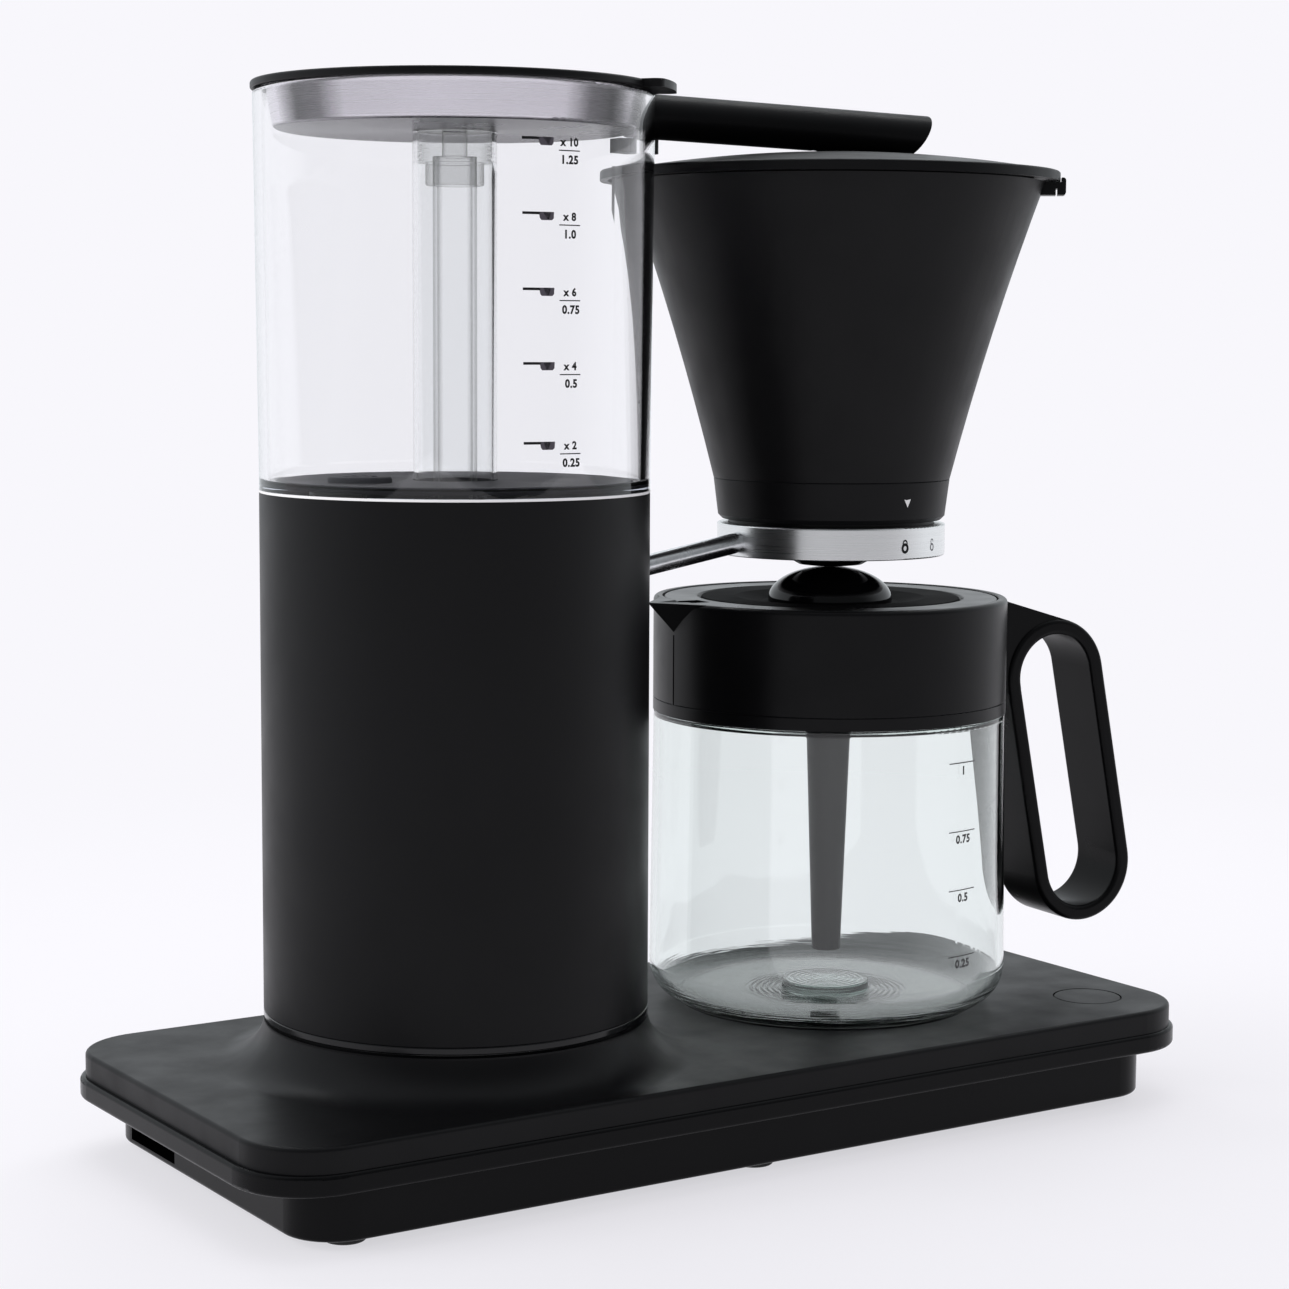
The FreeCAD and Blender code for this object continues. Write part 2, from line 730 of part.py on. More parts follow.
def tower_frame():
    """Inner frame: a deck that carries the tank, with a skirt and three legs."""
    outer = tower_radius - shell_wall - 0.2
    deck = rod(outer, deck_z, shell_top_z, tower_x)
    skirt = tube(outer, outer - frame_wall, deck_z - deck_skirt, deck_z + 0.2, tower_x)
    legs = [rod(leg_radius, shell_foot_z, deck_z + 0.2, x, y) for x, y in leg_places]
    frame = fused(deck, skirt, *legs)
    frame = frame.cut(rod(pipe_radius + 0.1, 0, above, tower_x))
    frame = frame.cut(rod(outlet_neck_radius + 0.2, 0, above, outlet_x))
    frame = frame.cut(bar(rod_radius + 0.3, *rod_line()))
    for x, y in leg_places:
        frame = frame.cut(rod(screw_radius, 0, shell_foot_z + frame_screw_reach + 0.5, x, y))
    return frame


def frame_screws():
    """Screws up through the ring's flange into the frame's legs."""
    screws = []
    for x, y in leg_places:
        head = rod(screw_head_radius, flange_foot_z - screw_head_height, flange_foot_z, x, y)
        screws.append(fused(head, rod(screw_radius, flange_foot_z - 1, shell_foot_z + frame_screw_reach, x, y)))
    return screws


def support_rod():
    """Steel rod from the tower to the ring."""
    return bar(rod_radius, *rod_line()).cut(rod(ring_radius, 0, above, jug_x))


def rod_bracket():
    """Block under the deck that grips the rod's inner end."""
    start, end = rod_line()
    body = block(24, 20, start.z - 10, deck_z, start.x + 8, 0)
    return body.cut(bar(rod_radius, start, end))


def boiler():
    """Flow-through heater: a closed steel body with a water inlet and a hot outlet."""
    inlet_x = tower_x - inlet_offset
    body = turned(outline([
        (0, boiler_bottom_z), (boiler_radius, boiler_bottom_z, 4.0), (boiler_radius, boiler_top_z, 4.0),
        (0, boiler_top_z)]), tower_x)
    outlet = rod(pipe_radius, boiler_top_z - 1, boiler_top_z + 14, tower_x)
    inlet = rod(cold_pipe_radius, boiler_bottom_z - inlet_length, boiler_bottom_z + 1, inlet_x)
    body = fused(body, outlet, inlet)
    body = body.cut(rod(pipe_radius - pipe_wall, boiler_top_z - 8, above, tower_x))
    return body.cut(rod(cold_pipe_radius - 1.0, 0, boiler_bottom_z + 8, inlet_x))


def boiler_bracket():
    """Clamp ring about the boiler with two arms to the frame's legs."""
    low = boiler_bottom_z + 0.45 * boiler_height
    depth = 10.0
    width = 8.0
    ring = rod(boiler_radius + 1.6, low, low + depth, tower_x)
    arms = []
    for turn in (60, -60):
        arm = Part.makeBox(leg_circle - leg_radius - 0.2, width, depth, Vector(0, -width / 2, low))
        arm.rotate(Vector(0, 0, 0), Vector(0, 0, 1), turn)
        arm.translate(Vector(tower_x, 0, 0))
        arms.append(arm)
    return fused(ring, *arms).cut(rod(boiler_radius, 0, above, tower_x))


def thermal_fuse():
    """Over-heat cut-out pressed against the boiler."""
    low = boiler_bottom_z + 0.15 * boiler_height
    return block(6, 10, low, low + 18, tower_x + boiler_radius + 3.1, 0)


def check_valve():
    """One-way valve under the tank's outlet, with a spigot at each end."""
    waist_z = valve_body_z - 20.0
    body = turned(outline([
        (0, valve_foot_z), (cold_pipe_radius, valve_foot_z), (cold_pipe_radius, waist_z - 2),
        (check_valve_radius, waist_z, 1.0), (check_valve_radius, valve_body_z, 1.0),
        (outlet_neck_radius, valve_body_z), (outlet_neck_radius, tank_floor_z), (0, tank_floor_z)]), outlet_x)
    return body.cut(rod(cold_pipe_radius - 1.2, 0, above, outlet_x))


def cold_hose():
    """Silicone hose from the check valve down, round and up into the boiler's inlet."""
    bend = (tank_outlet_offset - inlet_offset) / 2
    turn_z = boiler_bottom_z - inlet_length

    def run(radius):
        down = rod(radius, turn_z, valve_foot_z + 5.0, outlet_x)
        up = rod(radius, turn_z, boiler_bottom_z - 1, tower_x - inlet_offset)
        ring = Part.makeTorus(bend, radius, Vector(outlet_x + bend, 0, turn_z), Vector(0, 1, 0))
        lower = block(6 * bend, 6 * bend, turn_z - 3 * bend, turn_z, outlet_x + bend, 0)
        return fused(down, up, ring.common(lower))
    return run(cold_pipe_radius + hose_wall).cut(run(cold_pipe_radius))


def outlet_strainer():
    """Round mesh cap over the outlet in the tank floor."""
    low = tank_floor_z
    body = turned(outline([(0, low), (10.0, low), (10.0, low + 2.6, 1.0), (0, low + 2.6)]), outlet_x)
    body = body.cut(rod(7.0, low - 1, low + 1.4, outlet_x))
    for turn in range(0, 360, 45):
        x = outlet_x + 4.6 * math.cos(math.radians(turn))
        y = 4.6 * math.sin(math.radians(turn))
        body = body.cut(rod(1.1, low, low + 4, x, y))
    return body


def hot_hose():
    """Silicone sleeve joining the boiler's outlet to the riser."""
    low = boiler_top_z + 1
    return tube(pipe_radius + hose_wall, pipe_radius, low, riser_foot_z + 14, tower_x)


def hose_clamps():
    """Spring clips at the four hose ends."""
    hot_low = boiler_top_z + 4
    clamps = []
    for radius, x, low in ((pipe_radius, tower_x, hot_low), (pipe_radius, tower_x, riser_foot_z + 6),
                           (cold_pipe_radius, outlet_x, valve_foot_z),
                           (cold_pipe_radius, tower_x - inlet_offset, boiler_bottom_z - 8)):
        outer = radius + hose_wall
        clamps.append(tube(outer + 1.0, outer, low, low + 4, x))
    return clamps


# ---------------------------------------------------------------- tank and its lid
def tank_form():
    """The tank's outer form without its rounded edges."""
    return turned(outline([(0, tank_foot_z), (tank_foot_radius, tank_foot_z), (tank_mouth_radius, tank_top_z),
                           (0, tank_top_z)]), tower_x)


def water_tank():
    """Clear tapered tank with a floor and a notch for the lid's duct."""
    mouth_inner = tank_mouth_radius - tank_wall
    foot_inner = tank_foot_radius - tank_wall
    body = turned(outline([
        (0, tank_foot_z), (tank_foot_radius, tank_foot_z, 0.4), (tank_mouth_radius, tank_top_z, 1.2),
        (mouth_inner, tank_top_z, 1.2), (foot_inner, tank_floor_z, 1.5), (0, tank_floor_z)]), tower_x)
    body = body.cut(rod(pipe_radius, 0, above, tower_x))
    body = body.cut(rod(outlet_neck_radius, 0, above, outlet_x))
    notch = duct_radius + 0.6
    wall_x = tower_x + tank_mouth_radius
    body = body.cut(bar(notch, Vector(wall_x - 8, 0, duct_z), Vector(wall_x + 6, 0, duct_z)))
    return body.cut(block(14, 2 * notch, duct_z, above, wall_x - 1, 0))


def arm_bracket():
    """Black lug bonded to the tank's wall, which the arm turns on."""
    bridge = arm_pivot_gap + tank_wall
    lug = fused(rod(pivot_lug_radius, lug_foot_z, lug_top_z, pivot_x),
                block(bridge, pivot_lug_width, lug_foot_z, lug_top_z, pivot_x - bridge / 2))
    return lug.cut(tank_form()).cut(rod(pivot_pin_radius, 0, above, pivot_x))


def tank_gasket():
    """Thin seal between the tank and the tower's deck."""
    return tube(tank_foot_radius - 0.3, tank_foot_radius - 8.2, shell_top_z, tank_foot_z, tower_x)


def riser_parts():
    """Riser pipe, its clear cover and the silicone cap that joins them."""
    pipe = tube(pipe_radius, pipe_radius - pipe_wall, riser_foot_z, riser_top_z, tower_x)
    collar = riser_cover_radius - riser_cover_wall
    cover = tube(riser_cover_radius, collar, tank_floor_z, riser_cover_top_z, tower_x)
    low = riser_top_z - 9.0
    step_z = riser_top_z - 2.0
    top_z = insert_bottom_z - 0.1
    cap = turned(outline([
        (pipe_radius, low), (cap_collar_radius, low, 0.6), (cap_collar_radius, step_z), (collar, step_z),
        (collar, top_z, 0.5), (4.0, top_z), (4.0, riser_top_z), (pipe_radius, riser_top_z)]), tower_x)
    for index in range(cap_ribs):
        groove_z = step_z + cap_rib_pitch * (index + 0.5)
        cap = cap.cut(tube(collar + 1, collar - cap_rib_depth, groove_z, groove_z + cap_rib_pitch / 2, tower_x))
    return pipe, cover, cap


def tank_lid():
    """Thin black lid with a finger tab and a short locating ring."""
    lid = turned(outline([
        (0, lid_under_z), (lid_radius, lid_under_z, 0.6), (lid_radius, lid_top_z, 0.9),
        (0, lid_top_z)]), tower_x)
    sweep = lid_tab_end - lid_tab_start
    tab = Part.makeCylinder(lid_tab_radius, lid_thickness, Vector(0, 0, lid_under_z), Vector(0, 0, 1), sweep)
    tab.rotate(Vector(0, 0, 0), Vector(0, 0, 1), lid_tab_start)
    tab.translate(Vector(tower_x, 0, 0))
    corners = [edge for edge in tab.Edges
               if abs(edge.tangentAt(edge.FirstParameter).z) > 0.9
               and math.hypot(edge.Vertexes[0].X - tower_x, edge.Vertexes[0].Y) > lid_radius]
    tab = tab.makeFillet(lid_tab_reach / 2, corners)
    outer = insert_radius - insert_wall - lid_ring_play
    ring = tube(outer, outer - 1.2, lid_under_z - lid_ring_height, lid_under_z + 0.2, tower_x)
    ring = ring.cut(block(20, 2 * duct_radius + 2, 0, lid_under_z, tower_x + outer))
    return fused(lid, tab, ring)


def lid_insert():
    """Tapered cup of brushed steel under the lid, which hides the water duct."""
    inside_z = insert_bottom_z + insert_wall
    cup = turned(outline([
        (0, insert_bottom_z), (insert_foot_radius, insert_bottom_z, 1.4), (insert_radius, lid_under_z),
        (insert_radius - insert_wall, lid_under_z), (insert_foot_radius - insert_wall, inside_z),
        (0, inside_z)]), tower_x)
    cup = cup.cut(rod(4.5, 0, above, tower_x))
    return cup.cut(bar(duct_radius + duct_play, Vector(tower_x, 0, duct_z), Vector(pivot_x, 0, duct_z)))


def outlet_duct():
    """Water duct inside the lid, from above the riser to the arm's inlet."""
    end_x = tower_x + tank_mouth_radius + 0.5
    low = insert_bottom_z + insert_wall
    run = bar(duct_radius, Vector(tower_x, 0, duct_z), Vector(end_x, 0, duct_z))
    elbow = duct_radius + 1.4
    spring_z = duct_z + duct_radius - elbow
    slant = elbow * math.sqrt(0.5)
    riser = turned(curved_outline(
        (0, low), [(elbow, low), (elbow, spring_z), (slant, spring_z + slant, 0, spring_z + elbow)]), tower_x)
    bore = duct_radius - duct_wall
    duct = fused(run, riser)
    duct = duct.cut(bar(bore, Vector(tower_x, 0, duct_z), Vector(end_x + 1, 0, duct_z)))
    return duct.cut(rod(bore, low - 1, duct_z, tower_x))


# ---------------------------------------------------------------- spray arm
def spray_arm():
    """Hollow arm with a ball-shaped root on its pivot and a slanted, closed tip."""
    body = fused(bar(arm_radius, Vector(0, 0, 0), Vector(arm_length, 0, 0)), Part.makeSphere(arm_radius))
    slant = arm_tip_slant / (2 * arm_radius)
    reach = 2 * arm_radius
    low_z = -arm_radius - reach
    far_x = arm_length + reach
    tip = Part.Face(Part.makePolygon([
        Vector(arm_length, -reach, arm_radius),
        Vector(arm_length - arm_tip_slant - slant * reach, -reach, low_z),
        Vector(far_x, -reach, low_z), Vector(far_x, -reach, arm_radius),
        Vector(arm_length, -reach, arm_radius)])).extrude(Vector(0, 2 * reach, 0))
    body = body.cut(tip)
    bore_start = 6.0
    bore_end = arm_length - arm_tip_slant - bore_start
    body = body.cut(bar(arm_radius - arm_wall, Vector(bore_start, 0, 0), Vector(bore_end, 0, 0)))
    body = body.cut(bar(duct_radius - duct_wall + duct_play, Vector(-reach, 0, 0), Vector(bore_start + 1, 0, 0)))
    for offset in (-spray_hole_spacing, 0, spray_hole_spacing):
        body = body.cut(rod(spray_hole_radius, -reach, 0, jug_x - pivot_x + offset))
    body.rotate(Vector(0, 0, 0), Vector(0, 1, 0), arm_droop_deg)
    body.translate(Vector(pivot_x, 0, arm_centre_z))
    pin_top_z = arm_centre_z + pivot_pin_height
    return body.cut(rod(pivot_pin_radius + pivot_clearance, 0, pin_top_z + 0.4, pivot_x))


def pivot_pin():
    """Steel pin from the tank's lug up into the arm's root."""
    return rod(pivot_pin_radius, lug_foot_z, arm_centre_z + pivot_pin_height, pivot_x)


# ---------------------------------------------------------------- filter holder
def filter_ring():
    """Steel ring with an inner ledge that the holder drops into."""
    top_z = ring_bottom_z + ring_depth
    ledge_z = ring_bottom_z + ring_ledge
    return turned(outline([
        (ring_ledge_radius, ring_bottom_z), (ring_radius, ring_bottom_z, 0.5), (ring_radius, top_z, 0.5),
        (ring_bore_radius, top_z), (ring_bore_radius, ledge_z), (ring_ledge_radius, ledge_z)]), jug_x)


def filter_holder():
    """Cone with a curved wall and ribs that hold the paper filter off it."""
    inner_foot = cone_foot_radius - cone_foot_wall
    lap = cone_foot_radius - collar_lap - 0.1
    cone = turned(curved_outline(
        (cone_foot_radius, collar_top_z),
        [(cone_waist_radius, cone_waist_z, cone_mouth_radius, cone_mouth_z),
         (cone_mouth_radius - cone_wall, cone_mouth_z),
         (cone_waist_radius - cone_wall, cone_waist_z, inner_foot, collar_top_z),
         (inner_foot, collar_top_z - 0.5), (lap, collar_top_z - 0.5), (lap, collar_top_z)]), jug_x)
    rib_foot = inner_foot - 0.6
    rib_top = cone_waist_radius - cone_wall - 0.2
    rib_rise = cone_waist_z - collar_top_z
    lean = math.degrees(math.atan2(rib_top - rib_foot, rib_rise))
    within = rod(cone_mouth_radius, collar_top_z + 1, cone_waist_z + 15, jug_x)
    for turn in range(0, 360, rib_spacing_deg):
        rib = Part.makeBox(rib_size, rib_size, 1.5 * rib_rise, Vector(-rib_size / 2, -rib_size / 2, 0))
        rib.rotate(Vector(0, 0, 0), Vector(0, 1, 0), lean)
        rib.translate(Vector(rib_foot, 0, collar_top_z))
        rib.rotate(Vector(0, 0, 0), Vector(0, 0, 1), turn)
        rib.translate(Vector(jug_x, 0, 0))
        cone = cone.fuse(rib.common(within))
    return cone.removeSplitter()


def holder_base():
    """Floor of the cone with the valve hole, on the spigot that sits in the ring."""
    top_z = collar_top_z - 0.5
    shoulder = cone_foot_radius - collar_lap - 0.1
    spigot = tube(spigot_radius, spigot_radius - spigot_wall, spigot_foot_z, top_z, jug_x)
    rim = tube(shoulder, spigot_radius - spigot_wall, top_z - 0.2, top_z, jug_x)
    floor = rod(spigot_radius - 0.2, cone_floor_z, cone_floor_top_z, jug_x)
    return fused(spigot, rim, floor).cut(rod(valve_seat_radius, 0, above, jug_x))


def holder_collar():
    """Collar pressed on the spigot, with the turn mark on its front."""
    lap = cone_foot_radius - collar_lap
    return turned(outline([
        (spigot_radius, collar_foot_z), (collar_bottom_radius - collar_chamfer, collar_foot_z),
        (collar_bottom_radius, collar_foot_z + collar_chamfer), (cone_foot_radius, collar_top_z, 0.4),
        (lap, collar_top_z), (lap, collar_top_z - 0.7), (spigot_radius, collar_top_z - 0.7)]), jug_x)


def cone_lid():
    """Shallow domed lid with a locating skirt and three water holes."""
    dome_r = cone_lid_radius - 3.0
    crown_z = cone_lid_edge_z + cone_lid_rise * 0.74
    lid = turned(curved_outline(
        (cone_lid_radius, cone_lid_foot_z),
        [(cone_lid_radius, cone_lid_edge_z - 0.8),
         (cone_lid_radius - 0.3, cone_lid_edge_z - 0.2, cone_lid_radius - 0.8, cone_lid_edge_z),
         (dome_r, cone_lid_edge_z),
         (dome_r * 0.5, crown_z, 0, cone_lid_apex_z),
         (0, cone_lid_apex_z - cone_lid_wall),
         (dome_r * 0.5, crown_z - cone_lid_wall, dome_r, cone_lid_edge_z - cone_lid_wall),
         (dome_r, cone_lid_foot_z)]), jug_x)
    skirt_r = cone_mouth_radius - cone_wall - 1.6
    skirt = tube(skirt_r, skirt_r - 1.4, cone_mouth_z - 3.0, cone_lid_edge_z - cone_lid_wall + 1.0, jug_x)
    lid = fused(lid, skirt)
    for offset in (-spray_hole_spacing, 0, spray_hole_spacing):
        lid = lid.cut(rod(spray_hole_radius - 0.2, 0, above, jug_x + offset))
    return lid


def catch_block(near, far, low, high, width):
    """Block on the cone's rim, at the catch's place."""
    piece = Part.makeBox(far - near, width, high - low, Vector(near, -width / 2, low))
    piece.rotate(Vector(0, 0, 0), Vector(0, 0, 1), catch_turn)
    piece.translate(Vector(jug_x, 0, 0))
    return piece


def rim_catch():
    """Rounded catch on the cone's rim, hooked up outside the lid's edge."""
    root = cone_mouth_radius - 4
    tip = cone_mouth_radius + catch_reach
    hook = cone_lid_radius + lid_gap
    foot_z = cone_mouth_z - catch_height
    arm = catch_block(root, tip, foot_z, cone_mouth_z, catch_width)
    catch = fused(arm, catch_block(hook, tip, foot_z, cone_mouth_z + catch_hook_rise, catch_width))
    across = [edge for edge in catch.Edges
              if edge.BoundBox.ZLength < 1e-4 and abs(edge.Length - catch_width) < 1e-4
              and math.hypot(edge.CenterOfMass.x - jug_x, edge.CenterOfMass.y) > tip - 1e-3]
    catch = catch.makeFillet(catch_round, across)
    slot = catch_block(cone_mouth_radius + catch_reach / 2, cone_mouth_radius + catch_reach / 2 + catch_slot,
                       foot_z - 1, foot_z + catch_height / 2, catch_width + 2)
    keep_out = turned(curved_outline(
        (0, collar_top_z),
        [(cone_foot_radius, collar_top_z),
         (cone_waist_radius, cone_waist_z, cone_mouth_radius, cone_mouth_z),
         (cone_mouth_radius, cone_mouth_z + 5), (0, cone_mouth_z + 5)]), jug_x)
    return catch.cut(slot).cut(keep_out)


def drip_stop():
    """Spring-loaded valve that the jug's lid lifts off its seat, and its spring."""
    disc_radius = valve_seat_radius + 2.5
    disc_top_z = valve_disc_z + valve_disc
    valve = turned(outline([
        (0, nose_tip_z), (nose_flat_radius, nose_tip_z), (nose_tip_radius, nose_tip_z + nose_tip_rise, 0.5),
        (nose_radius, ring_bottom_z, 0.4),
        (nose_radius, nose_top_z, 0.4), (valve_stem_radius, nose_top_z), (valve_stem_radius, valve_disc_z),
        (disc_radius, valve_disc_z, 0.4), (disc_radius, disc_top_z, 0.6), (0, disc_top_z)]), jug_x)
    valve = valve.cut(rod(nose_pocket_radius, 0, nose_tip_z + nose_pocket_depth, jug_x))
    spring = coil(5.2, 0.45, 4, nose_top_z, cone_floor_z, jug_x, 0)
    return valve, spring


def valve_seal():
    """Silicone ring on the cone floor that the valve closes on."""
    low = cone_floor_top_z
    return tube(valve_seat_radius + 2.6, valve_seat_radius, low, low + valve_seal_height, jug_x)


# ---------------------------------------------------------------- jug
def about_jug(shape):
    """Turn a shape made about the origin to the jug's own direction and place."""
    shape.rotate(Vector(0, 0, 0), Vector(0, 0, 1), jug_turn)
    shape.translate(Vector(jug_x, 0, 0))
    return shape


def jug_glass():
    """Blown glass with a raised button in its floor and a neck inside the band."""
    neck_bore = glass_neck_radius - glass_wall
    bore = glass_radius - glass_wall
    button_z = glass_floor_z + glass_button_rise
    return turned(outline([
        (0, glass_foot_z), (glass_radius, glass_foot_z, glass_bottom_round),
        (glass_shoulder_radius, glass_shoulder_z, 0.8), (glass_neck_radius, neck_foot_z, 1.0),
        (glass_neck_radius, mouth_z, 0.8), (neck_bore, mouth_z, 0.8), (neck_bore, neck_foot_z - 1.2, 1.6),
        (glass_shoulder_radius - glass_wall, glass_shoulder_z - 1.6, 1.4),
        (bore, glass_floor_z, glass_bottom_round - glass_wall), (glass_button_radius, glass_floor_z, 1.2),
        (glass_button_radius, button_z, 0.8), (0, button_z)]), jug_x)


def lower_ring():
    """Gloss ring under the band that clamps the glass's shoulder."""
    low = band_bottom_z - lower_ring_height
    return turned(outline([
        (glass_neck_radius + 0.3, neck_foot_z + 0.4), (band_radius - 0.4, low), (band_radius, low),
        (band_radius, band_bottom_z, 0.3), (glass_neck_radius + 0.3, band_bottom_z)]), jug_x)


def jug_band():
    """Black band with the lid's ledge, the pouring spout and the handle screw's hole."""
    ledge_r = band_bore_radius - lid_ledge
    rim_r = band_bore_radius + lid_rim_play
    band = turned(outline([
        (band_bore_radius, band_bottom_z), (band_radius, band_bottom_z, 0.3),
        (band_radius, band_top_z, band_round), (rim_r, band_top_z, 0.4), (rim_r, lid_seat_z),
        (ledge_r, lid_seat_z), (ledge_r, mouth_z + 1.0),
        (band_bore_radius, mouth_z + 1.0)]))
    band = fused(band, spout())
    band = band.cut(spout_channel())
    band = band.cut(block(2 * band_seam_depth, band_seam_width, band_bottom_z - 1, band_top_z - spout_depth,
                          -band_radius, 0))
    start = Vector(band_bore_radius - 1, 0, handle_screw_z)
    head_end = Vector(band_bore_radius + 2.1, 0, handle_screw_z)
    band = band.cut(bar(screw_radius + 0.1, start, Vector(band_radius + 20, 0, handle_screw_z)))
    band = band.cut(bar(screw_head_radius + 0.2, start, head_end))
    return about_jug(band)


def spout():
    """Pinched spout: a wedge that runs out to a point at the band's top."""
    root = band_radius - 1.0
    half = math.radians(spout_half_angle)
    tip = Vector(-(band_radius + spout_reach), 0, band_top_z)
    left = Vector(-root * math.cos(half), root * math.sin(half), band_top_z)
    right = Vector(-root * math.cos(half), -root * math.sin(half), band_top_z)
    keel = Vector(-root, 0, band_top_z - spout_depth)
    behind = Vector(-root + 4.0, 0, band_top_z - spout_depth)
    corners = [(tip, left, right), (tip, keel, left), (tip, right, keel)]
    corners += [(left, behind, right), (left, keel, behind), (right, behind, keel)]
    faces = [Part.Face(Part.makePolygon([a, b, c, a])) for a, b, c in corners]
    wedge = Part.Solid(Part.Shell(faces))
    if wedge.Volume < 0:
        wedge.reverse()
    ring = tube(band_radius + 2 * spout_reach, band_bore_radius + 1.2, 0, above)
    return wedge.common(ring)


def spout_channel():
    """V-shaped way through the band's wall and out along the spout."""
    low_z = band_top_z - spout_depth * spout_channel_share
    high_z = band_top_z + 1
    half = spout_half_width
    inner = band_bore_radius - 4
    face = Part.Face(Part.makePolygon([
        Vector(-inner, -half, high_z), Vector(-inner, half, high_z), Vector(-inner, 0, low_z),
        Vector(-inner, -half, high_z)]))
    tip = Vector(-(band_radius + spout_reach - 1.6), 0, band_top_z + 0.8)
    start = [vertex.Point for vertex in face.Vertexes]
    sides = [Part.Face(Part.makePolygon([start[i], start[(i + 1) % 3], tip, start[i]])) for i in range(3)]
    wedge = Part.Solid(Part.Shell([face] + sides))
    if wedge.Volume < 0:
        wedge.reverse()
    return wedge


def jug_handle():
    """Leaning loop with rounded edges and a slimmer arm that is screwed to the band."""
    half = handle_loop_width / 2

    def loop(radius):
        ends = [Part.makeCylinder(radius, handle_width, Vector(0, -handle_width / 2, side * handle_straight),
                                  Vector(0, 1, 0)) for side in (-1, 1)]
        return fused(block(2 * radius, handle_width, -handle_straight, handle_straight), *ends)

    hole = loop(half)
    handle = loop(handle_outer).cut(hole)
    rims = [edge for edge in handle.Edges if edge.BoundBox.YLength < 1e-4]
    handle = handle.makeFillet(handle_edge_round, rims)
    for shape in (handle, hole):
        shape.rotate(Vector(0, 0, 0), Vector(0, 1, 0), -handle_lean)
        shape.translate(Vector(handle_middle_reach, 0, handle_middle_z))
    root = Vector(band_radius - 6, 0, band_top_z - arm_drop)
    crown = Vector(handle_middle_reach - handle_straight * math.sin(handle_slope), 0,
                   handle_middle_z + handle_straight * math.cos(handle_slope))
    away = crown - root
    rise = math.atan2(away.z, away.x) + math.asin(handle_outer / away.Length)
    run = math.sqrt(away.Length ** 2 - handle_outer ** 2)
    arm_width = handle_width - 2 * arm_inset
    arm = Part.Face(outline([
        (root.x, band_bottom_z), (band_radius + arm_foot_reach, band_bottom_z), (crown.x, crown.z),
        (root.x + run * math.cos(rise), root.z + run * math.sin(rise)), (root.x, root.z)]))
    arm = arm.extrude(Vector(0, arm_width, 0))
    arm.translate(Vector(0, -arm_width / 2, 0))
    handle = fused(handle, arm.cut(hole)).cut(rod(band_radius, 0, above))
    screw_end = Vector(band_radius + 9, 0, handle_screw_z)
    handle = handle.cut(bar(screw_radius, Vector(0, 0, handle_screw_z), screw_end))
    return about_jug(handle)


def handle_screw():
    """Flat-headed screw from inside the band into the handle."""
    z = handle_screw_z
    head = bar(screw_head_radius, Vector(band_bore_radius + 0.3, 0, z), Vector(band_bore_radius + 2.1, 0, z))
    shank = bar(screw_radius, Vector(band_bore_radius + 1.5, 0, z), Vector(band_radius + 8.5, 0, z))
    return about_jug(fused(head, shank))


def jug_gasket():
    """Seal between the glass's mouth and the band's ledge."""
    return tube(glass_neck_radius, glass_neck_radius - glass_wall, mouth_z, mouth_z + 1.0, jug_x)


def half_egg(radius, height, foot_z):
    """Upper half of an ellipsoid over the jug's axis."""
    centre = Vector(0, 0, foot_z)
    curve = Part.Ellipse(Vector(radius, 0, foot_z), Vector(0, 0, foot_z + height), centre)
    arc = Part.ArcOfEllipse(curve, 0, math.pi / 2).toShape()
    axis = Part.LineSegment(Vector(0, 0, foot_z + height), centre).toShape()
    base = Part.LineSegment(centre, Vector(radius, 0, foot_z)).toShape()
    return turned(Part.Wire([arc, axis, base]), jug_x)


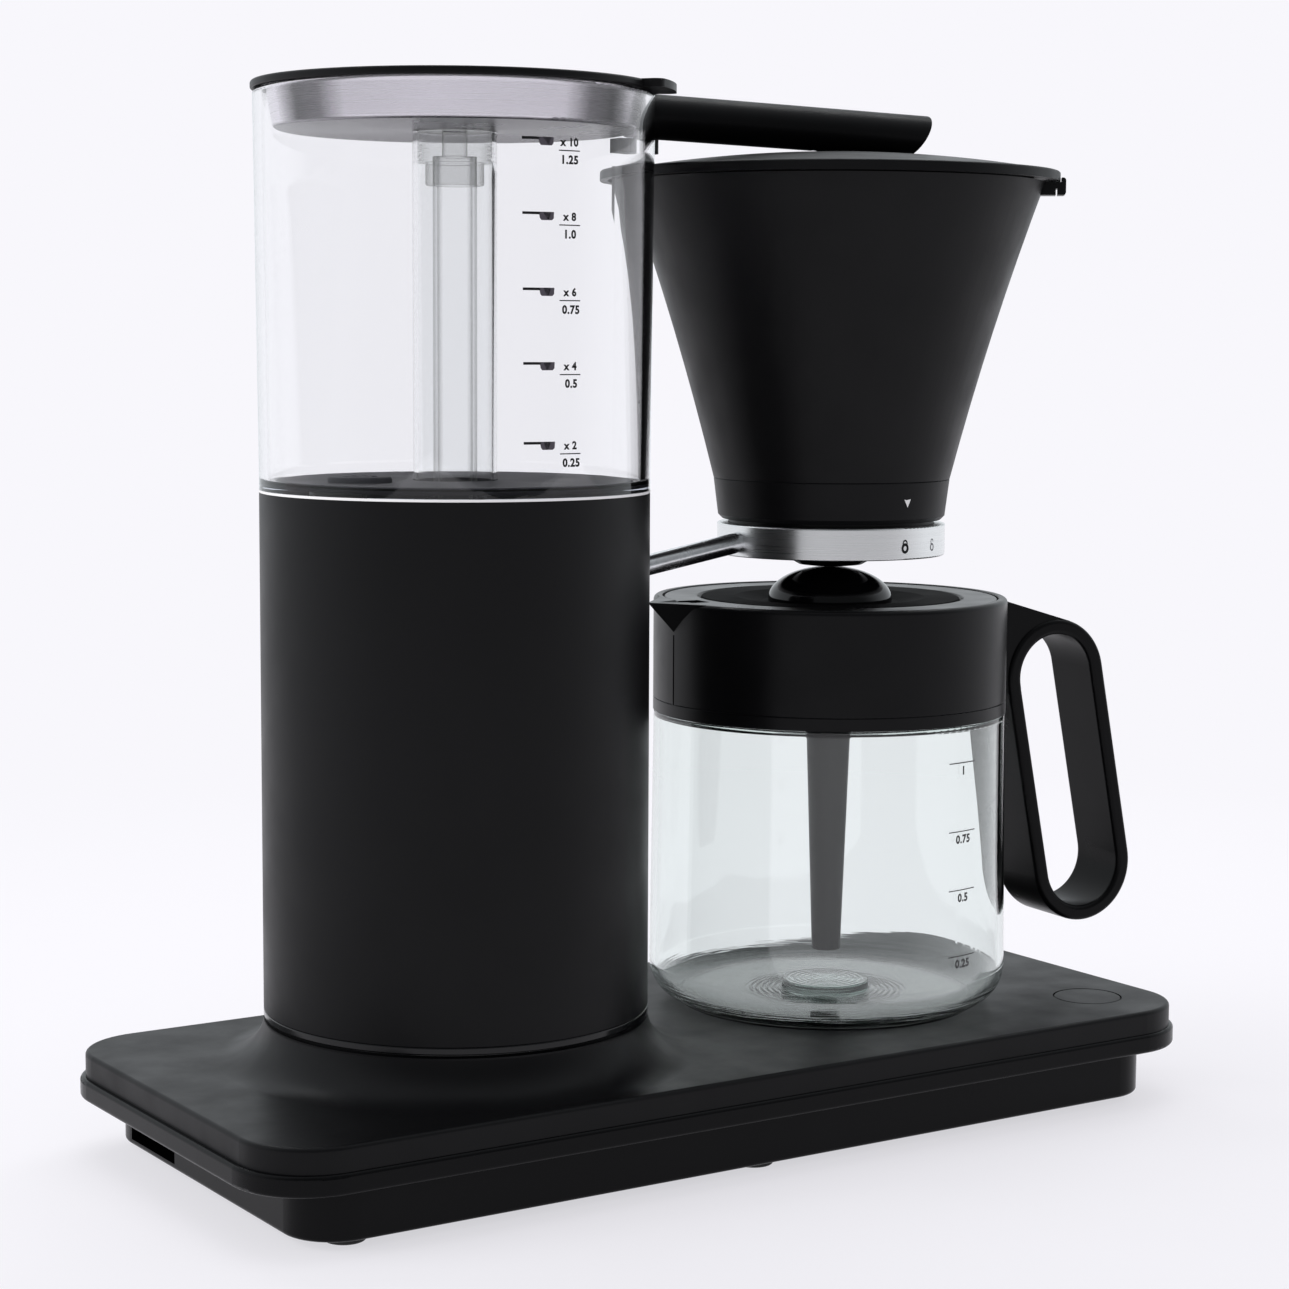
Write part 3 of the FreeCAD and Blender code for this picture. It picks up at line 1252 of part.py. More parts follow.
def jug_lid_parts():
    """Turn-off lid: disc, glossy dome with its foot ring, and the mixing tube."""
    low = lid_seat_z + jug_gap
    top = low + jug_lid_thickness
    dish_z = top - lid_dish_depth
    groove_z = top - lid_groove_depth
    groove_out = lid_groove_radius + lid_groove_width / 2
    groove_in = lid_groove_radius - lid_groove_width / 2
    edge = band_bore_radius + lid_rim_play - jug_lid_gap
    skirt = band_bore_radius - lid_ledge - jug_lid_gap
    skirt_z = low - jug_lid_skirt
    disc = turned(outline([
        (mixing_top_radius, low), (skirt - jug_lid_wall, low), (skirt - jug_lid_wall, skirt_z), (skirt, skirt_z),
        (skirt, low), (edge, low), (edge, top, 0.8), (groove_out + 0.4, top, 0.3), (groove_out, groove_z),
        (groove_in, groove_z), (groove_in - 0.4, top, 0.3), (lid_dish_radius, top, 0.6), (lid_dish_foot, dish_z),
        (mixing_top_radius, dish_z)]), jug_x)
    lid_spout = block(spout_half_width * 1.8, spout_half_width, low - 1, above, -edge, 0)
    disc = disc.cut(about_jug(lid_spout))
    egg_z = dish_z + dome_foot
    egg_height = dome_apex_z - egg_z
    bore = dome_radius - dome_wall
    outer = fused(half_egg(dome_radius, egg_height, egg_z), rod(dome_radius, dish_z, egg_z, jug_x))
    inner = fused(half_egg(bore, egg_height - dome_wall, egg_z), rod(bore, dish_z - 1, egg_z, jug_x))
    shell = outer.cut(inner)
    seam = block(4 * dome_radius, 4 * dome_radius, egg_z + dome_seam_rise, above, jug_x)
    foot = shell.cut(seam)
    dome = shell.common(seam).cut(rod(dome_hole_radius, 0, above, jug_x))
    taper_z = low - mixing_socket
    tube_top_z = dish_z + 3.0
    mixing = turned(outline([
        (mixing_bottom_radius - mixing_wall, mixing_bottom_z), (mixing_bottom_radius, mixing_bottom_z, 0.4),
        (mixing_top_radius, taper_z), (mixing_top_radius, low), (mixing_top_radius, tube_top_z),
        (mixing_top_radius - mixing_wall, tube_top_z), (mixing_top_radius - mixing_wall, taper_z)]), jug_x)
    return disc, foot, dome, mixing


# ---------------------------------------------------------------- write the nodes
def main():
    """Build and save every node."""
    os.makedirs("parts", exist_ok=True)
    button, button_spring, switch = button_parts()
    plate, plate_gasket, heater, thermostat, clamp = hotplate_parts()
    riser, riser_cover, riser_cap = riser_parts()
    valve, valve_spring = drip_stop()
    lid_disc, dome_foot_ring, dome, mixing = jug_lid_parts()

    save("base_tray", base_tray())
    save("base_cover", base_cover())
    save("tower_collar", tower_collar())
    save("rubber_feet", *feet())
    save("base_screws", *base_screws())
    save("cord_gland", cord_gland())
    save("terminal_block", terminal_block())
    save("control_board", control_board())
    save("power_button", button)
    save("button_spring", button_spring)
    save("power_switch", switch)
    save("hotplate", plate)
    save("hotplate_gasket", plate_gasket)
    save("hotplate_heater", heater)
    save("hotplate_thermostat", thermostat)
    save("heater_clamp", clamp)
    save("tower_ring", tower_ring())
    save("tower_shell", tower_shell())
    save("tower_frame", tower_frame())
    save("frame_screws", *frame_screws())
    save("rod_bracket", rod_bracket())
    save("support_rod", support_rod())
    save("filter_ring", filter_ring())
    save("boiler", boiler())
    save("boiler_bracket", boiler_bracket())
    save("thermal_fuse", thermal_fuse())
    save("check_valve", check_valve())
    save("cold_hose", cold_hose())
    save("hot_hose", hot_hose())
    save("hose_clamps", *hose_clamps())
    save("water_tank", water_tank())
    save("arm_bracket", arm_bracket())
    save("tank_gasket", tank_gasket())
    save("outlet_strainer", outlet_strainer())
    save("riser_pipe", riser)
    save("riser_cover", riser_cover)
    save("riser_cap", riser_cap)
    save("tank_lid", tank_lid())
    save("lid_insert", lid_insert())
    save("outlet_duct", outlet_duct())
    save("arm_pivot_pin", pivot_pin())
    save("spray_arm", spray_arm())
    save("filter_holder", filter_holder())
    save("holder_base", holder_base())
    save("holder_collar", holder_collar())
    save("cone_lid", cone_lid())
    save("rim_catch", rim_catch())
    save("valve_seal", valve_seal())
    save("drip_valve", valve)
    save("drip_spring", valve_spring)
    save("jug_glass", jug_glass())
    save("jug_lower_ring", lower_ring())
    save("jug_band", jug_band())
    save("jug_gasket", jug_gasket())
    save("jug_handle", jug_handle())
    save("handle_screw", handle_screw())
    save("jug_lid", lid_disc)
    save("dome_foot", dome_foot_ring)
    save("lid_dome", dome)
    save("mixing_tube", mixing)


main()
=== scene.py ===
import math

import bmesh
import bpy
from mathutils import Matrix, Vector


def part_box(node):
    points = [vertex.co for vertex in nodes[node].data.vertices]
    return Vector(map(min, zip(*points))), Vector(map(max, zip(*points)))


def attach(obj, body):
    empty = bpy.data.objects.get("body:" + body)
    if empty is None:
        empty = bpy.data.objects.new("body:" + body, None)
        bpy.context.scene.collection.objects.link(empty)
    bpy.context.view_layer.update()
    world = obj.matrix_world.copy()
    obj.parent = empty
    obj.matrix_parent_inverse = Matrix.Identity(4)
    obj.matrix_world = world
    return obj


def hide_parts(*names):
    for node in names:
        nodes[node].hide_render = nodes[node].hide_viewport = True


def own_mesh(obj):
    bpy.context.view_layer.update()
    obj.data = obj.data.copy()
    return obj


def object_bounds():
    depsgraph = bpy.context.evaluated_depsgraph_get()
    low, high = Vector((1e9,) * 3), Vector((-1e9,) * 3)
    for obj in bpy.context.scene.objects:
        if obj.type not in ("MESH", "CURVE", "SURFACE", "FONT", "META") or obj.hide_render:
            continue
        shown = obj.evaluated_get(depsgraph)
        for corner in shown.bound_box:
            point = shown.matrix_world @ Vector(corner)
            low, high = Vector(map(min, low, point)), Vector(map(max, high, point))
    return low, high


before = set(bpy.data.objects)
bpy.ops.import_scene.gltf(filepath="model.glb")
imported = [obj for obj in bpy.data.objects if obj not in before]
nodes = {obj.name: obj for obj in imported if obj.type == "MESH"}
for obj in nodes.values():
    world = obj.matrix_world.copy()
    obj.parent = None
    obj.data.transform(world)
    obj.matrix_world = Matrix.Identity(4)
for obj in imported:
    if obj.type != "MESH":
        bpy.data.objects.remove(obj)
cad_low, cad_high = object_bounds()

mm = 0.001
scene = bpy.context.scene


# ---------------------------------------------------------------- places
def centre(node):
    """Middle of a node's box."""
    low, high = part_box(node)
    return (low + high) / 2


def span(node):
    """Size of a node's box."""
    low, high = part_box(node)
    return high - low


tower = centre("tower_shell")
jug = centre("lid_dome")
base = centre("base_cover")
tank_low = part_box("tank_gasket")[1].z
tank_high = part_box("water_tank")[1].z
glass_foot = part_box("jug_glass")[0].z


# ---------------------------------------------------------------- materials
noise_low, noise_high = 0.3, 0.7  # a noise texture stays mostly between these
mix_first, mix_second, mix_result = 6, 7, 2  # a mix node's sockets for colours
level_only = (1.0, 1.0, 0.0)  # scale that leaves only the level distance
drift_noise = (14.0, 3.0)  # scale and detail of the slow change of a moulding's colour
sheen_noise = (60.0, 4.0)  # scale and detail of its uneven sheen


class Finish:
    """One material's node tree, with short calls for the nodes that it needs."""

    def __init__(self, name):
        self.material = bpy.data.materials.new(name)
        self.material.use_nodes = True
        self.tree = self.material.node_tree
        self.shader = self.tree.nodes["Principled BSDF"]
        self.output = self.tree.nodes["Material Output"]
        self.place = self.node("TexCoord").outputs["Object"]

    def node(self, kind, **settings):
        """New node of a kind, with its settings."""
        node = self.tree.nodes.new("ShaderNode" + kind)
        for name, value in settings.items():
            setattr(node, name, value)
        return node

    def link(self, source, target):
        self.tree.links.new(source, target)

    def set(self, **values):
        """Constant values on the shader's sockets; _ stands for a space in a socket's name."""
        for name, value in values.items():
            self.shader.inputs[name.replace("_", " ")].default_value = value

    def stretched(self, scale, about=(0, 0, 0)):
        """Place measured from a point and scaled along each axis."""
        node = self.node("Mapping", vector_type="POINT")
        node.inputs["Location"].default_value = [-a * s for a, s in zip(about, scale)]
        node.inputs["Scale"].default_value = scale
        self.link(self.place, node.inputs["Vector"])
        return node.outputs["Vector"]

    def noise(self, scale, detail=2.0, vector=None, roughness=0.5):
        node = self.node("TexNoise")
        node.inputs["Scale"].default_value = scale
        node.inputs["Detail"].default_value = detail
        node.inputs["Roughness"].default_value = roughness
        self.link(vector or self.place, node.inputs["Vector"])
        return node.outputs["Fac"]

    def ranged(self, value, low, high, start=noise_low, end=noise_high):
        """Value that runs from low at start to high at end."""
        node = self.node("MapRange")
        node.inputs["From Min"].default_value = start
        node.inputs["From Max"].default_value = end
        node.inputs["To Min"].default_value = low
        node.inputs["To Max"].default_value = high
        self.link(value, node.inputs["Value"])
        return node.outputs["Result"]

    def maths(self, operation, *values):
        node = self.node("Math", operation=operation)
        for value, socket in zip(values, node.inputs):
            self.link(value, socket)
        return node.outputs[0]

    def length(self, vector):
        node = self.node("VectorMath", operation="LENGTH")
        self.link(vector, node.inputs[0])
        return node.outputs["Value"]

    def facing(self, blend):
        """How far the surface turns away from the eye."""
        node = self.node("LayerWeight")
        node.inputs["Blend"].default_value = blend
        return node.outputs["Facing"]

    def colours(self, value, low, high, start=noise_low, end=noise_high):
        node = self.node("Mix", data_type="RGBA")
        self.link(self.ranged(value, 0.0, 1.0, start, end), node.inputs["Factor"])
        node.inputs[mix_first].default_value = (*low, 1.0)
        node.inputs[mix_second].default_value = (*high, 1.0)
        self.link(node.outputs[mix_result], self.shader.inputs["Base Color"])

    def rough(self, value, low, high, start=noise_low, end=noise_high):
        self.link(self.ranged(value, low, high, start, end), self.shader.inputs["Roughness"])

    def bump(self, value, strength, depth, under=None):
        """Fine relief, over another bump where that is given."""
        node = self.node("Bump")
        node.inputs["Strength"].default_value = strength
        node.inputs["Distance"].default_value = depth
        self.link(value, node.inputs["Height"])
        if under is not None:
            self.link(under, node.inputs["Normal"])
        self.link(node.outputs["Normal"], self.shader.inputs["Normal"])
        return node.outputs["Normal"]


def moulded(name, dark, light, rough_low, rough_high,
            grain=1900.0, depth=0.00005, strength=0.35, level=0.14):
    """Plastic or ink: spark-eroded grain, faint tone drift and uneven sheen."""
    finish = Finish(name)
    finish.set(Specular_IOR_Level=level)
    finish.colours(finish.noise(*drift_noise), dark, light)
    finish.rough(finish.noise(*sheen_noise), rough_low, rough_high)
    finish.bump(finish.noise(grain, 3.0), strength, depth)
    return finish.material


def dulled_disc(name, dark, light, about, inside, edge=0.0006):
    """Black lid: dull and finely spark-eroded inside its ring groove, satin outside."""
    finish = Finish(name)
    reach = finish.length(finish.stretched(level_only, about))
    outside = finish.ranged(reach, 0.0, 1.0, inside - edge, inside + edge)
    finish.link(finish.ranged(outside, 0.02, 0.2, 0.0, 1.0), finish.shader.inputs["Specular IOR Level"])
    finish.colours(finish.noise(*drift_noise), dark, light)
    sheen = finish.ranged(outside, 0.62, 0.26, 0.0, 1.0)
    uneven = finish.ranged(finish.noise(*sheen_noise), 0.0, 0.08)
    finish.link(finish.maths("ADD", sheen, uneven), finish.shader.inputs["Roughness"])
    finish.bump(finish.noise(1500.0, 3.0), strength=0.3, depth=0.00005)
    return finish.material


def painted(name, dark, light, rough_low, rough_high):
    """Powder-painted can: very fine orange peel over a coarser ripple."""
    finish = Finish(name)
    finish.set(Specular_IOR_Level=0.14)
    finish.colours(finish.noise(9.0, 3.0), dark, light)
    finish.rough(finish.noise(45.0, 3.0), rough_low, rough_high)
    ripple = finish.bump(finish.noise(160.0), strength=0.08, depth=0.0002)
    finish.bump(finish.noise(2600.0), strength=0.3, depth=0.00004, under=ripple)
    return finish.material


def thin_clear(name, dark, light, rough_low, rough_high, least, most):
    """Thin milky moulding that lets the light straight through, and hides more along its edges."""
    finish = Finish(name)
    finish.colours(finish.noise(40.0, 3.0), dark, light)
    finish.rough(finish.noise(90.0, 3.0), rough_low, rough_high)
    finish.bump(finish.noise(300.0), strength=0.1, depth=0.0001)
    hidden = finish.ranged(finish.facing(0.4), least, most, 0.2, 0.9)
    finish.link(hidden, finish.shader.inputs["Alpha"])
    return finish.material


def paint_reflection_bands_and_shade(finish, painted_shade_depth):
    """Painted reflection and painted shade: dark bands painted where an upright wall turns away, standing
    in for the dark room mirrored there, and a painted darker underside with a weaker mirror, standing in
    for the shade under it.
    """
    ramp = finish.node("ValToRGB")
    painted_reflection_bands = ((0.0, 0.0), (0.2, 0.0), (0.32, 0.8), (0.48, 1.0), (0.58, 0.6), (0.7, 0.0))
    while len(ramp.color_ramp.elements) < len(painted_reflection_bands):
        ramp.color_ramp.elements.new(0.5)
    for element, (place, share) in zip(ramp.color_ramp.elements, painted_reflection_bands):
        element.position = place
        element.color = (*[1.0 - share * painted_shade_depth] * 3, 1.0)
    finish.link(finish.facing(0.5), ramp.inputs["Fac"])
    normal = finish.node("SeparateXYZ")
    finish.link(finish.node("NewGeometry").outputs["Normal"], normal.inputs[0])
    upward = normal.outputs["Z"]
    from_below = (-0.9, -0.3)  # the upward part of the normal, from the underside to the wall
    # painted shade on the mirror: a weaker reflection on the underside
    finish.link(finish.ranged(upward, 0.55, 1.0, *from_below), finish.shader.inputs["Specular Tint"])
    # painted reflection bands on the wall, painted shade on the underside, multiplied into the base colour
    painted_bands_on_wall = finish.maths("MAXIMUM", ramp.outputs["Color"], finish.ranged(upward, 1.0, 0.0, *from_below))
    painted_shade_factor = finish.maths("MULTIPLY", painted_bands_on_wall, finish.ranged(upward, 0.4, 1.0, *from_below))
    painted_shade_mix = finish.node("Mix", data_type="RGBA", blend_type="MULTIPLY")
    painted_shade_mix.inputs["Factor"].default_value = 1.0
    finish.link(finish.shader.inputs["Base Color"].links[0].from_socket, painted_shade_mix.inputs[mix_first])
    finish.link(painted_shade_factor, painted_shade_mix.inputs[mix_second])
    finish.link(painted_shade_mix.outputs[mix_result], finish.shader.inputs["Base Color"])


def brushed(name, colour_low, colour_high, rough_low, rough_high, axis_at, painted_shade_depth=0.0):
    """Spun steel: fine lines around the upright axis, with painted reflection bands and a painted shaded
    underside where the painted shade's depth is above 0.
    """
    finish = Finish(name)
    finish.set(Metallic=1.0, Anisotropic=0.5, Anisotropic_Rotation=0.25)
    lines = finish.noise(1.0, 5.0, finish.stretched((9.0, 9.0, 4200.0), axis_at), 0.6)
    finish.colours(lines, colour_low, colour_high, 0.25, 0.75)
    if painted_shade_depth > 0.0:
        paint_reflection_bands_and_shade(finish, painted_shade_depth)
    finish.rough(lines, rough_low, rough_high, 0.25, 0.75)
    tangent = finish.node("Tangent", direction_type="RADIAL", axis="Z")
    finish.link(tangent.outputs["Tangent"], finish.shader.inputs["Tangent"])
    finish.bump(lines, strength=0.05, depth=0.00001)
    return finish.material


def metal(name, colour_low, colour_high, rough_low, rough_high, scale=700.0):
    """Plain steel, zinc or cast metal with small uneven patches."""
    finish = Finish(name)
    finish.set(Metallic=1.0)
    patches = finish.noise(scale, 4.0)
    finish.colours(patches, colour_low, colour_high)
    finish.rough(finish.noise(scale * 0.3, 4.0), rough_low, rough_high)
    finish.bump(patches, strength=0.1, depth=0.00005)
    return finish.material


def blown(finish, heel, axis_at, under):
    """Fine level streaks below the heel's height, and rings pressed in the floor around the axis."""
    height = finish.node("SeparateXYZ")
    finish.link(finish.place, height.inputs[0])
    below = finish.ranged(height.outputs["Z"], 1.0, 0.0, heel - 7 * mm, heel)
    streaks = finish.noise(1.0, 3.0, finish.stretched((14.0, 14.0, 700.0)), 0.6)
    under = finish.bump(finish.maths("MULTIPLY", streaks, below), strength=0.35, depth=0.0008, under=under)
    reach = finish.length(finish.stretched(level_only, (axis_at.x, axis_at.y, 0.0)))
    ring_count, ring_reach = 30.0, 0.06
    rings = finish.maths("SINE", finish.ranged(reach, 0.0, 2 * math.pi * ring_count, 0.0, ring_reach))
    fading = finish.ranged(reach, 1.0, 0.0, 0.02, 0.03)
    finish.bump(finish.maths("MULTIPLY", rings, fading), strength=0.3, depth=0.0004, under=under)


def clear(name, tint_low, tint_high, ior, rough_high, ripple, body_tint, density, heel=None, axis_at=None):
    """Clear moulding or glass: a faint ripple left by its mould, and a tint that deepens along its
    edges. Glass with a heel's height is blown."""
    finish = Finish(name)
    within = finish.node("VolumeAbsorption")
    within.inputs["Color"].default_value = (*body_tint, 1.0)
    within.inputs["Density"].default_value = density
    finish.link(within.outputs[0], finish.output.inputs["Volume"])
    finish.set(Transmission_Weight=1.0, IOR=ior)
    finish.colours(finish.noise(7.0), tint_low, tint_high)
    finish.rough(finish.noise(30.0, 3.0), 0.0, rough_high, 0.45, 0.75)
    under = finish.bump(finish.noise(22.0), ripple, depth=0.0006)
    if heel is not None:
        blown(finish, heel, axis_at, under)
    return finish.material


def soft(name, dark, light, rough_low, rough_high, through=0.0, ior=1.42):
    """Rubber or silicone: waxy, slightly mottled."""
    finish = Finish(name)
    finish.set(Transmission_Weight=through, IOR=ior)
    finish.colours(finish.noise(120.0, 4.0), dark, light)
    finish.rough(finish.noise(300.0, 3.0), rough_low, rough_high)
    finish.bump(finish.noise(1400.0), strength=0.2, depth=0.00006)
    return finish.material


def board(name):
    """Solder mask with faint tracks."""
    finish = Finish(name)
    tracks = finish.noise(1.0, 1.0, finish.stretched((300.0, 900.0, 300.0)))
    finish.colours(tracks, (0.012, 0.07, 0.03), (0.03, 0.15, 0.07), 0.47, 0.53)
    finish.rough(tracks, 0.25, 0.4, 0.45, 0.55)
    finish.bump(tracks, strength=0.2, depth=0.00005)
    return finish.material


# Each has its two colours, then its least and greatest roughness.
matt_black = moulded("matt_black", (0.0032, 0.0032, 0.0036), (0.0044, 0.0044, 0.0049), 0.36, 0.46)
satin_black = moulded("satin_black", (0.003, 0.003, 0.0034), (0.0042, 0.0042, 0.0047), 0.28, 0.36,
                      grain=1500.0, depth=0.00004, strength=0.2)
gloss_black = moulded("gloss_black", (0.0024, 0.0024, 0.0028), (0.0034, 0.0034, 0.0039), 0.09, 0.15,
                      grain=900.0, depth=0.00003, strength=0.06, level=0.3)
tray_black = moulded("tray_black", (0.0022, 0.0022, 0.0025), (0.003, 0.003, 0.0034), 0.2, 0.28,
                     grain=1500.0, depth=0.00003, strength=0.12, level=0.1)
arm_black = moulded("arm_black", (0.0018, 0.0018, 0.0021), (0.0024, 0.0024, 0.0028), 0.34, 0.42,
                    depth=0.00004, strength=0.3, level=0.08)
handle_black = moulded("handle_black", (0.0026, 0.0026, 0.003), (0.0036, 0.0036, 0.004), 0.27, 0.34,
                       grain=1500.0, depth=0.00004, strength=0.2, level=0.095)
lid_black = dulled_disc("lid_black", (0.003, 0.003, 0.0034), (0.0042, 0.0042, 0.0047),
                        about=(jug.x, 0, 0), inside=0.0455)
matt_can = painted("matt_can", (0.0038, 0.0038, 0.0042), (0.0052, 0.0052, 0.0058), 0.36, 0.44)
grey_plastic = moulded("grey_plastic", (0.012, 0.012, 0.0135), (0.017, 0.017, 0.019), 0.35, 0.5)
# Grey colour that stands for shade: painted shade on the tank's floor and its strainer.
painted_floor_shade = moulded("painted_floor_shade", (0.088, 0.09, 0.108), (0.112, 0.114, 0.134), 0.5, 0.62,
                     grain=600.0, depth=0.0001, strength=0.3, level=0.08)
white_plastic = moulded("white_plastic", (0.66, 0.66, 0.63), (0.74, 0.74, 0.71), 0.35, 0.5)
black_ink = moulded("black_ink", (0.006, 0.006, 0.007), (0.009, 0.009, 0.01), 0.5, 0.6)
grey_ink = moulded("grey_ink", (0.07, 0.063, 0.078), (0.09, 0.082, 0.098), 0.5, 0.6)
white_ink = moulded("white_ink", (0.8, 0.8, 0.8), (0.86, 0.86, 0.86), 0.5, 0.6)
clear_tank = clear("clear_tank", (0.996, 0.998, 1.0), (1.0, 1.0, 1.0), ior=1.43, rough_high=0.03,
                   ripple=0.02, body_tint=(0.76, 0.85, 0.95), density=9.0)
clear_tube = clear("clear_tube", (0.98, 0.99, 0.99), (0.99, 0.995, 0.995), ior=1.42, rough_high=0.06,
                   ripple=0.03, body_tint=(0.8, 0.9, 0.92), density=14.0)
jug_glass = clear("jug_glass", (0.98, 0.99, 0.985), (0.99, 0.995, 0.992), ior=1.5, rough_high=0.01,
                  ripple=0.03, body_tint=(0.68, 0.79, 0.755), density=80.0,
                  heel=glass_foot + 11 * mm, axis_at=jug)
cap_clear = thin_clear("cap_clear", (0.78, 0.8, 0.74), (0.86, 0.88, 0.82), 0.2, 0.3, least=0.1, most=0.65)
pipe_clear = thin_clear("pipe_clear", (0.7, 0.74, 0.76), (0.78, 0.82, 0.83), 0.1, 0.2, least=0.0, most=0.55)
silicone = soft("silicone", (0.9, 0.91, 0.87), (0.96, 0.965, 0.93), 0.08, 0.16, through=1.0, ior=1.3)
rubber = soft("rubber", (0.009, 0.009, 0.009), (0.014, 0.014, 0.014), 0.5, 0.7)
steel_ring = brushed("steel_ring", (0.72, 0.73, 0.73), (0.82, 0.83, 0.83), 0.24, 0.34, (jug.x, 0, 0))
# The inner steel gets painted reflection bands and a painted shaded underside.
steel_cup = brushed("steel_cup", (0.75, 0.72, 0.77), (0.79, 0.76, 0.81), 0.25, 0.29, (tower.x, 0, 0),
                    painted_shade_depth=0.9)
bright_steel = metal("bright_steel", (0.72, 0.73, 0.75), (0.82, 0.83, 0.85), 0.2, 0.28)
zinc_steel = metal("zinc_steel", (0.42, 0.43, 0.45), (0.56, 0.57, 0.6), 0.3, 0.42)
aluminium = metal("aluminium", (0.5, 0.5, 0.51), (0.64, 0.64, 0.65), 0.4, 0.55, scale=350.0)
circuit_board = board("circuit_board")

finishes = {
    matt_black: ["base_cover", "tower_collar", "power_button", "filter_holder", "holder_base",
                 "holder_collar", "cone_lid", "rim_catch", "tank_lid"],
    handle_black: ["jug_handle"],
    arm_black: ["spray_arm", "arm_bracket"],
    satin_black: ["jug_band", "jug_lower_ring"],
    lid_black: ["jug_lid"],
    tray_black: ["base_tray"],
    gloss_black: ["tower_ring", "drip_valve", "dome_foot", "lid_dome"],
    matt_can: ["tower_shell", "hotplate"],
    clear_tank: ["water_tank"],
    clear_tube: ["riser_cover"],
    pipe_clear: ["riser_pipe"],
    cap_clear: ["riser_cap"],
    jug_glass: ["jug_glass"],
    silicone: ["valve_seal", "jug_gasket", "tank_gasket", "cold_hose", "hot_hose"],
    rubber: ["rubber_feet", "cord_gland", "hotplate_gasket"],
    steel_ring: ["filter_ring"],
    steel_cup: ["lid_insert", "boiler"],
    bright_steel: ["support_rod", "arm_pivot_pin"],
    zinc_steel: ["base_screws", "button_spring", "heater_clamp", "frame_screws", "boiler_bracket",
                 "hose_clamps", "drip_spring", "handle_screw"],
    aluminium: ["hotplate_heater", "hotplate_thermostat"],
    grey_plastic: ["power_switch", "tower_frame", "rod_bracket", "outlet_duct", "mixing_tube"],
    # The strainer takes the same painted shade, so that it blends into the sheet on the tank's floor.
    painted_floor_shade: ["outlet_strainer"],
    white_plastic: ["terminal_block", "thermal_fuse", "check_valve"],
    circuit_board: ["control_board"],
}
for material, names in finishes.items():
    for name in names:
        nodes[name].data.materials.clear()
        nodes[name].data.materials.append(material)


# ---------------------------------------------------------------- pieces
hair = 0.02 * mm  # keeps a face clear of the one behind it


def piece(name, form, body, material):
    """One mesh object that rides on a body, with its material."""
    bmesh.ops.remove_doubles(form, verts=form.verts, dist=1e-7)
    bmesh.ops.recalc_face_normals(form, faces=form.faces)
    mesh = bpy.data.meshes.new(name)
    form.to_mesh(mesh)
    form.free()
    mesh.materials.append(material)
    thing = bpy.data.objects.new(name, mesh)
    scene.collection.objects.link(thing)
    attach(thing, body)


def button_coil():
    """The button's return spring as a piece of its own that rides on the stand."""
    coil = bpy.data.objects.new("button_coil", nodes["button_spring"].data.copy())
    scene.collection.objects.link(coil)
    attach(coil, "stand")
    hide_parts("button_spring")
    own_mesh(coil)


def lathe(form, profile, about, steps=96):
    """Closed ring or disc from (radius, height) points about an upright axis."""
    rings = []
    for step in range(steps):
        turn = 2 * math.pi * step / steps
        rings.append([form.verts.new((about.x + r * math.cos(turn), about.y + r * math.sin(turn), z))
                      for r, z in profile])
    for step in range(steps):
        here, there = rings[step], rings[(step + 1) % steps]
        for index in range(len(profile)):
            after = (index + 1) % len(profile)
            form.faces.new((here[index], there[index], there[after], here[after]))


def tank_floor_painted_shade():
    """Dark sheet on the tank's clear floor, round the tube's foot and the outlet: painted shade, standing
    in for the shade seen through the floor.
    """
    tube_gap, gasket_gap, rise = 0.3 * mm, 1.3 * mm, 0.8 * mm
    wall, rim, slope = 5.8 * mm, 3.5 * mm, 0.6 * mm
    cover = span("riser_cover").x / 2 + tube_gap
    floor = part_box("riser_cover")[0].z + hair
    low, high = tank_low + gasket_gap, floor + rise
    outer = span("water_tank").y / 2 - wall
    inset = outer - rim
    profile = [(cover, low), (inset, low), (inset, floor), (outer, floor),
               (outer - slope, high), (cover, high)]
    form = bmesh.new()
    lathe(form, profile, tower)
    piece("tank_floor_shade_sheet", form, "stand", painted_floor_shade)


def tank_foot_line():
    """Thin pale line round the tank's foot, just above the shell."""
    deep, tall = 0.08 * mm, 0.8 * mm
    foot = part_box("tank_gasket")[0].z + hair
    outer = span("tower_shell").y / 2
    inner = outer - deep
    profile = [(inner, foot), (outer, foot), (outer, foot + tall), (inner, foot + tall)]
    form = bmesh.new()
    lathe(form, profile, tower, steps=192)
    piece("tank_foot_line", form, "stand", white_ink)


